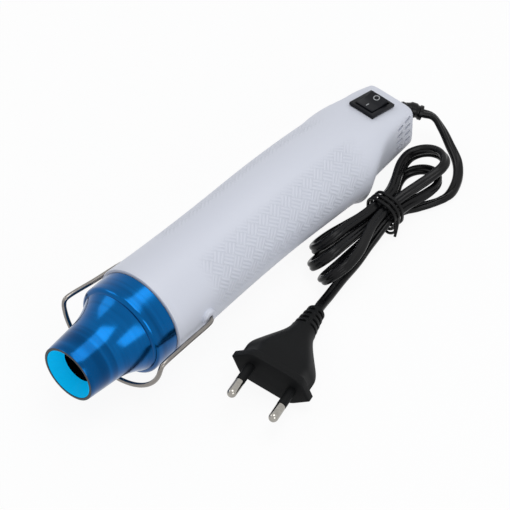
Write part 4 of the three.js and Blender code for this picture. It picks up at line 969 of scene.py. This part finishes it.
BEZEL_LENGTH = 14.6
BEZEL_WIDTH = 12.8
BEZEL_THICK = 1.4
BEZEL_EDGE = 0.28
WELL_EDGE = 0.12
HOUSING_DEPTH = 12.0
HOUSING_LAP = 0.5
ROCKER_LENGTH = 10.4
ROCKER_WIDTH = 8.6
ROCKER_TOP = 2.5
ROCKER_DROP = 1.9
ROCKER_ANGLE = radians(9)
ROCKER_FOOT = (1.5, -3.0)
ROCKER_EDGE = 0.35
ROCKER_STEPS = 10
ROCKER_HOLLOW = 1.15
OFF_PROFILE = ((1.01, -0.06), (1.03, 0.04), (1.08, 0.06), (1.32, 0.06), (1.37, 0.04), (1.39, -0.06))
OFF_SIDES = 40
OFF_PLACE = (0.58, 0.53, 0.03)
ON_SIZE = (0.42, 1.9, 0.12)
ON_EDGE = 0.05
ON_PLACE = (-0.55, 0.5, 0.05)
WELL_DEPTH = 6.2
WELL_PAST = 0.5
BEZEL_TOP = FIT + BEZEL_THICK
PIVOT_Z = BEZEL_TOP - ROCKER_DROP
ROCKER = PANEL @ Matrix.Translation((0, 0, PIVOT_Z * MM)) @ Matrix.Rotation(ROCKER_ANGLE, 4, "X")


def make_switch():
    """The frame with its well, the rocker, and the two marks on it."""
    bezel = block("switch_frame", (BEZEL_WIDTH, BEZEL_LENGTH, BEZEL_THICK), (0, 0, FIT + BEZEL_THICK / 2))
    soften(bezel, BEZEL_EDGE)
    housing = (HOUSING_WIDTH, HOUSING_LENGTH, HOUSING_DEPTH)
    cut(bezel, block("body", housing, (0, 0, BEZEL_TOP - HOUSING_LAP - HOUSING_DEPTH / 2)), "UNION")
    end = ROCKER_LENGTH / 2
    rise = end * tan(ROCKER_ANGLE)
    top = ROCKER_TOP + rise
    swing = end * cos(ROCKER_ANGLE) + top * sin(ROCKER_ANGLE)
    well = (ROCKER_WIDTH + 2 * FIT, 2 * (swing + FIT), WELL_DEPTH)
    cut(bezel, block("well", well, (0, 0, BEZEL_TOP + WELL_PAST - WELL_DEPTH / 2)))
    soften(bezel, WELL_EDGE, segments=2)
    bezel.data.transform(PANEL)
    dress(bezel, "body", BLACK_NYLON, ("switch_housing",))

    foot, low = ROCKER_FOOT
    outline = [(-end, top), (-end, 0), (-foot, low), (foot, low), (end, 0), (end, top)]
    for i in range(1, ROCKER_STEPS):
        across = 1 - 2 * i / ROCKER_STEPS
        outline.append((end * across, ROCKER_TOP + rise * abs(across) ** ROCKER_HOLLOW))
    rings = [[Vector((x, y, z)) * MM for y, z in outline] for x in (-ROCKER_WIDTH / 2, ROCKER_WIDTH / 2)]
    rocker = drawn_out("rocker_cap", rings)
    soften(rocker, ROCKER_EDGE, angle=40)
    rocker.data.transform(ROCKER)
    dress(rocker, "rocker", BLACK_NYLON, ("switch_rocker",))

    # The generic marks: a ring for off on the raised end and a bar for on. Each lies on its slope, at a share
    # of the way to that end and of the rise there, and stands a little proud.
    slope = atan(rise / end)
    turns = full_turn(OFF_SIDES)
    rings = [[Vector((r * cos(t), r * sin(t), z)) * MM for t in turns] for r, z in OFF_PROFILE]
    ring = drawn_out("off_mark", rings, closed=True)
    line = block("on_mark", ON_SIZE, (0, 0, 0))
    soften(line, ON_EDGE, segments=2)
    for mark, (along, up, proud), tilt in ((ring, OFF_PLACE, slope), (line, ON_PLACE, -slope)):
        place = Vector((0, along * end, ROCKER_TOP + up * rise + proud)) * MM
        mark.data.transform(ROCKER @ Matrix.Translation(place) @ Matrix.Rotation(tilt, 4, "X"))
        dress(mark, "rocker", MARK_INK)


# Boot on the lead

BOOT_END_R = 3.2
BOOT_INNER = 4.0
BOOT_FLANGE = 0.9
BOOT_FLANGE_EDGE = 0.2
BOOT_RIBS = 3
BOOT_RIB_DEPTH = 0.5
BOOT_RIB_STEPS = 12
RIB_FALL = (0.42, 0.55)
RIB_CLIMB = (0.88, 1.0)
BOOT_PLAIN_STEPS = 3


def make_boot():
    """A stem held in the casing's wall by two flanges, and a ribbed sleeve along the lead."""
    inner = TAIL_Y - WALL - BOOT_INNER
    flange = BOOT_R + BOOT_FLANGE
    outer = TAIL_Y + FIT
    behind = TAIL_Y - WALL - 3 * FIT
    edge = BOOT_FLANGE_EDGE
    profile = [(flange, inner), (flange, behind), (BOOT_R, behind), (BOOT_R, outer)]
    profile += [(flange - edge, outer), (flange, outer + edge)]
    profile += [(flange, outer + BOOT_FLANGE - edge), (flange - edge, outer + BOOT_FLANGE)]
    stem = drawn_out("boot_stem", [round_ring(r, y, ROUND_SIDES, BOOT_Z) for r, y in profile])
    steps = BOOT_RIBS * BOOT_RIB_STEPS
    line = boot_line(steps)

    def radius(i):
        t = (i % BOOT_RIB_STEPS) / BOOT_RIB_STEPS
        dip = ease(*RIB_FALL, t) * (1 - ease(*RIB_CLIMB, t)) if i < steps - BOOT_PLAIN_STEPS else 0.0
        return between(BOOT_R, BOOT_END_R, i / steps) - BOOT_RIB_DEPTH * dip

    boot = drawn_out("cord_boot", rings_along(line, radius, ROUND_SIDES))
    cut(boot, stem, "UNION")
    dress(boot, "body", BLACK_SHEATH, ("strain_relief",), angle=40)
    return boot


# Tie round the hank

TIE_EDGE = 0.3
TIE_CORNER_STEPS = 10
TIE_END_R = 0.6
TIE_END_STEPS = 24
TIE_END_SIDES = 12
# Both loose ends count X from the right side of the turns
TIE_CUT_END = ((0, 59.8, 9.2), (0.9, 59.0, 6.4), (1.6, 57.4, 3.8), (1.9, 56.3, 1.9))
TIE_SLACK = ((0, 58.6, 8.0), (1.0, 57.2, 3.6), (-1.4, 56.8, 1.3), (-4.45, 57.4, 0.9), (-5.45, 58.9, 0.9))


def make_tie():
    """Three turns of a thin flat tie round the waist, with a slack loop and a cut end at the lower right."""
    half = STRAND_PITCH + CORD_R + FIT
    low = strand(0, 0)[1] - CORD_R - FIT
    high = strand(0, 2)[1] + CORD_R + FIT
    corner = half - STRAND_PITCH / 2 + FIT

    def loop(grow, y):
        w, r = half + grow, corner + grow
        top, bottom = high + grow - r, low - grow + r
        ring = []
        for quarter, (x, z) in enumerate(((w - r, top), (r - w, top), (r - w, bottom), (w - r, bottom))):
            for i in range(TIE_CORNER_STEPS + 1):
                turn = pi / 2 * (quarter + i / TIE_CORNER_STEPS)
                ring.append(floor_at(HANK_X + x + r * cos(turn), HANK_Y + y, z + r * sin(turn)))
        return ring

    side = TIE_TURN_WIDTH / 2
    edge = TIE_EDGE
    profile = [(0, edge - side), (edge, -side), (TIE_THICK - edge, -side), (TIE_THICK, edge - side)]
    profile += [(thick, -y) for thick, y in reversed(profile)]
    first = drawn_out("tie_turn", [loop(grow, y) for grow, y in profile], closed=True)
    turns = [first]
    for place in (-1, 1):
        turns.append(copy_of(first, "tie_turn"))
        turns[-1].data.transform(Matrix.Translation(floor_at(0, place * (TIE_WIDTH - TIE_TURN_WIDTH) / 2, 0)))
    right = HANK_X + half + TIE_THICK / 2
    for places in (TIE_CUT_END, TIE_SLACK):
        line = through([floor_at(right + x, y, z) for x, y, z in places], TIE_END_STEPS)
        turns.append(drawn_out("tie_end", rings_along(line, lambda i: TIE_END_R, TIE_END_SIDES)))
    tie = join("cord_tie_turns", *turns)
    dress(tie, "body", BLACK_SHEATH, ("cord_tie",), angle=40)
    return tie


# Plug

PLUG_HALF = 17.7
PLUG_PLATE = 4.0
PLUG_STEP = 2.4
PLUG_FILLET = 0.2
PLUG_EDGE = 0.7
PLUG_THICK = 13.7
PLUG_NECK_R = 5.4
PLUG_BOOT_END_R = 3.9
PLUG_BOOT_EDGE = 0.3
PLUG_RIBS = 4
PLUG_RIB_DEPTH = 0.8
PLUG_FLAT = 0.62
PLUG_SQUARENESS = 14
PLUG_SPINE = (0.16, 0.34)
PLUG_RIB_PROFILE = ((0.1, 0), (0.16, 1), (0.42, 1), (0.48, 0), (0.95, 0))
PLUG_SHOULDER = 0.3 * PLUG_LENGTH
PLUG_FACE_TURNS = (pi / 2, 1.1, 0.7, 0.3, 0)
PLUG_BODY_RINGS = 24
PLUG_SIDES = 72
PIN_R = 2.0
PIN_LENGTH = 19.0
PIN_SLEEVE = 10.0
PIN_ROOT = 1.0
PIN_SPACING = 18.8
PIN_EDGE = 0.15
PIN_TIP_TURNS = (0.3, 0.6, 0.9, 1.2, 1.4)
SLEEVE_EDGE = 0.2


def plug_ring(y, half, thick, roundness, slot=0.0):
    """A ring of the plug: six-sided at its face, round at its boot, where a slot leaves two spines."""
    ring = []
    power = PLUG_SQUARENESS
    for turn in full_turn(PLUG_SIDES):
        c, s = cos(turn), sin(turn)
        slope = abs(c) + (1 - PLUG_FLAT) * abs(s)
        hexagon = (abs(s) ** power + slope ** power) ** (-1 / power)
        scale = between(hexagon, 1, roundness)
        depth = slot * ease(*PLUG_SPINE, abs(c))
        ring.append(floor_at((half - depth) * c * scale, y, (thick - depth) * s * scale))
    return ring


def make_plug():
    """The plug from its face back to its ribbed boot, then its two pins."""
    thick = PLUG_THICK / 2
    edge = PLUG_EDGE
    body_half = PLUG_HALF - PLUG_STEP
    body_thick = thick - edge / 2
    rings = []
    for turn in PLUG_FACE_TURNS:
        drawn = edge * (1 - cos(turn))
        rings.append(plug_ring(edge * (1 - sin(turn)), PLUG_HALF - drawn, thick - drawn, 0))
    for back, drawn in ((edge / 2, 0), (edge / 5, edge / 10), (0, edge / 2)):
        rings.append(plug_ring(PLUG_PLATE - back, PLUG_HALF - drawn, thick - drawn / 2, 0))
    rings.append(plug_ring(PLUG_PLATE + edge / 4, body_half + PLUG_FILLET, body_thick, 0))
    rings.append(plug_ring(PLUG_PLATE + edge / 2, body_half, body_thick, 0))
    for i in range(PLUG_BODY_RINGS + 1):
        drawn = ease(0, 1, i / PLUG_BODY_RINGS)
        rings.append(plug_ring(
            between(PLUG_SHOULDER, PLUG_LENGTH, i / PLUG_BODY_RINGS),
            between(body_half, PLUG_NECK_R, drawn),
            between(body_thick, PLUG_NECK_R, drawn),
            drawn,
        ))
    step = PLUG_BOOT / PLUG_RIBS
    for i in range(PLUG_RIBS):
        from_y = PLUG_LENGTH + step * i
        radius = between(PLUG_NECK_R, PLUG_BOOT_END_R, (i + 1) / PLUG_RIBS)
        for share, slot in PLUG_RIB_PROFILE:
            rings.append(plug_ring(from_y + share * step, radius, radius, 1, slot * PLUG_RIB_DEPTH))
    end = PLUG_BOOT_END_R - PLUG_BOOT_EDGE
    rings.append(plug_ring(PLUG_LENGTH + PLUG_BOOT, end, end, 1))
    body = drawn_out("plug_moulding", rings)
    for side in (-1, 1):
        depth = PIN_SLEEVE + PIN_ROOT - FIT
        bpy.ops.mesh.primitive_cylinder_add(vertices=ROUND_SIDES, radius=PIN_R * MM, depth=depth * MM)
        sleeve = start("pin_sleeve")
        soften(sleeve, SLEEVE_EDGE, segments=2)
        sleeve.data.transform(Matrix.Rotation(pi / 2, 4, "X"))
        sleeve.data.transform(Matrix.Translation(floor_at(side * PIN_SPACING / 2, PIN_ROOT - depth / 2, 0)))
        cut(body, sleeve, "UNION")
    body.data.transform(PLUG)
    dress(body, "body", BLACK_PLUG, ("plug_body",), angle=38)

    profile = [(PIN_R - PIN_EDGE, -PIN_SLEEVE), (PIN_R, -PIN_SLEEVE - PIN_EDGE), (PIN_R, -PIN_LENGTH + PIN_R)]
    profile += [(PIN_R * cos(t), -PIN_LENGTH + PIN_R * (1 - sin(t))) for t in PIN_TIP_TURNS]
    turns = full_turn(ROUND_SIDES)
    rings = [[Vector((r * cos(t), y, r * sin(t))) * MM for t in turns] for r, y in profile]
    left = drawn_out("nickel_plug_pin_left", rings)
    right = copy_of(left, "nickel_plug_pin_right")
    for pin, side, node in ((left, -1, "plug_pin_left"), (right, 1, "plug_pin_right")):
        pin.data.transform(PLUG @ Matrix.Translation(floor_at(side * PIN_SPACING / 2, 0, 0)))
        dress(pin, "body", NICKEL, (node,), angle=40)
    return [body, left, right]


# Pieces inside the casing keep their solids and get real finishes

INNER_FINISHES = (
    (ZINC_STEEL, "case_screw_1 case_screw_2 case_screw_3 case_screw_4 thermal_cutout motor_can motor_shaft"),
    (MICA_DARKENED_AS_SHADE, "heater_sleeve heater_holder heater_former"),
    (RESISTANCE_WIRE, "heater_coil"),
    (NATURAL_NYLON, "motor_end_cap motor_mount fan_impeller"),
    (BOARD_LACQUER, "rectifier_board"),
    (EPOXY_BLACK, "diode_1 diode_2 diode_3 diode_4"),
    (BRASS, "switch_terminal_1 switch_terminal_2"),
    (RED_SILICONE, "lead_live lead_switched"),
    (BLUE_SILICONE, "lead_neutral"),
)


def finish_inner_pieces():
    """Each inner piece gets its finish in place of the solid's plain one."""
    for finish, names in INNER_FINISHES:
        for name in names.split():
            slots = frame["nodes"][name].data.materials
            slots.clear()
            slots.append(finish)


# Floor and light, in metres and watts

FLOOR_SIZE = 8.0
FLOOR_DROP = 0.0002
FLOOR_GLOW = 0.92
SKY_LIGHT = 0.46
SKY_SEEN = 1.0
WHITE = (1, 1, 1, 1)
LAMP_TARGET = Vector((0.01, 0, 0.02))
LAMPS = (
    ("top_softbox", (0.1, 0.2, 1.0), (0.7, 0.6), 3.3),
    ("left_softbox", (-0.8, -0.3, 0.7), (0.5, 0.5), 1.2),
    ("right_softbox", (0.85, -0.3, 0.5), (0.6, 0.5), 2.1),
)


def seen_ray(tree):
    """One for a ray that shows what it meets: from the camera, mirrored or let through."""
    ray = put(tree, "ShaderNodeLightPath").outputs
    seen = ray["Is Camera Ray"]
    for kind in ("Is Glossy Ray", "Is Transmission Ray"):
        seen = put(tree, "ShaderNodeMath", {0: seen, 1: ray[kind]}, operation="MAXIMUM").outputs[0]
    return seen


def make_studio():
    """A white floor that shows white and keeps the shadow, a white sky, and three soft lamps."""
    bpy.ops.mesh.primitive_plane_add(size=FLOOR_SIZE, location=(0, 0, -FLOOR_DROP))
    floor = start("studio_floor")
    material, tree, shader = new_finish("white_paper_floor")
    feed(tree, shader, {"Base Color": srgb("#F4F5F7"), "Roughness": 0.9})
    glow = put(tree, "ShaderNodeEmission", {"Color": WHITE, "Strength": 1.0}).outputs[0]
    share = put(tree, "ShaderNodeMath", {0: seen_ray(tree), 1: FLOOR_GLOW}, operation="MULTIPLY").outputs[0]
    both = put(tree, "ShaderNodeMixShader", {0: share, 1: shader.outputs[0], 2: glow}).outputs[0]
    feed(tree, tree.nodes["Material Output"], {"Surface": both})
    floor.data.materials.append(material)

    world = bpy.data.worlds.new("white_studio")
    scene.world = world
    world.use_nodes = True
    tree = world.node_tree
    light = {"Value": seen_ray(tree), "To Min": SKY_LIGHT, "To Max": SKY_SEEN}
    strength = put(tree, "ShaderNodeMapRange", light).outputs[0]
    feed(tree, tree.nodes["Background"], {"Color": WHITE, "Strength": strength})

    for name, place, size, power in LAMPS:
        bpy.ops.object.light_add(type="AREA", location=place)
        lamp = bpy.context.object
        lamp.name = name
        lamp.data.shape = "RECTANGLE"
        lamp.data.size, lamp.data.size_y = size
        lamp.data.energy = power
        lamp.rotation_euler = (LAMP_TARGET - Vector(place)).to_track_quat("-Z", "Y").to_euler()


scene.view_settings.view_transform = "Standard"
set_camera()
cord, cord_line = make_cord()
make_casing()
make_nozzle()
make_stand()
make_switch()
boot = make_boot()
tie = make_tie()
plug_pieces = make_plug()
finish_inner_pieces()
make_studio()
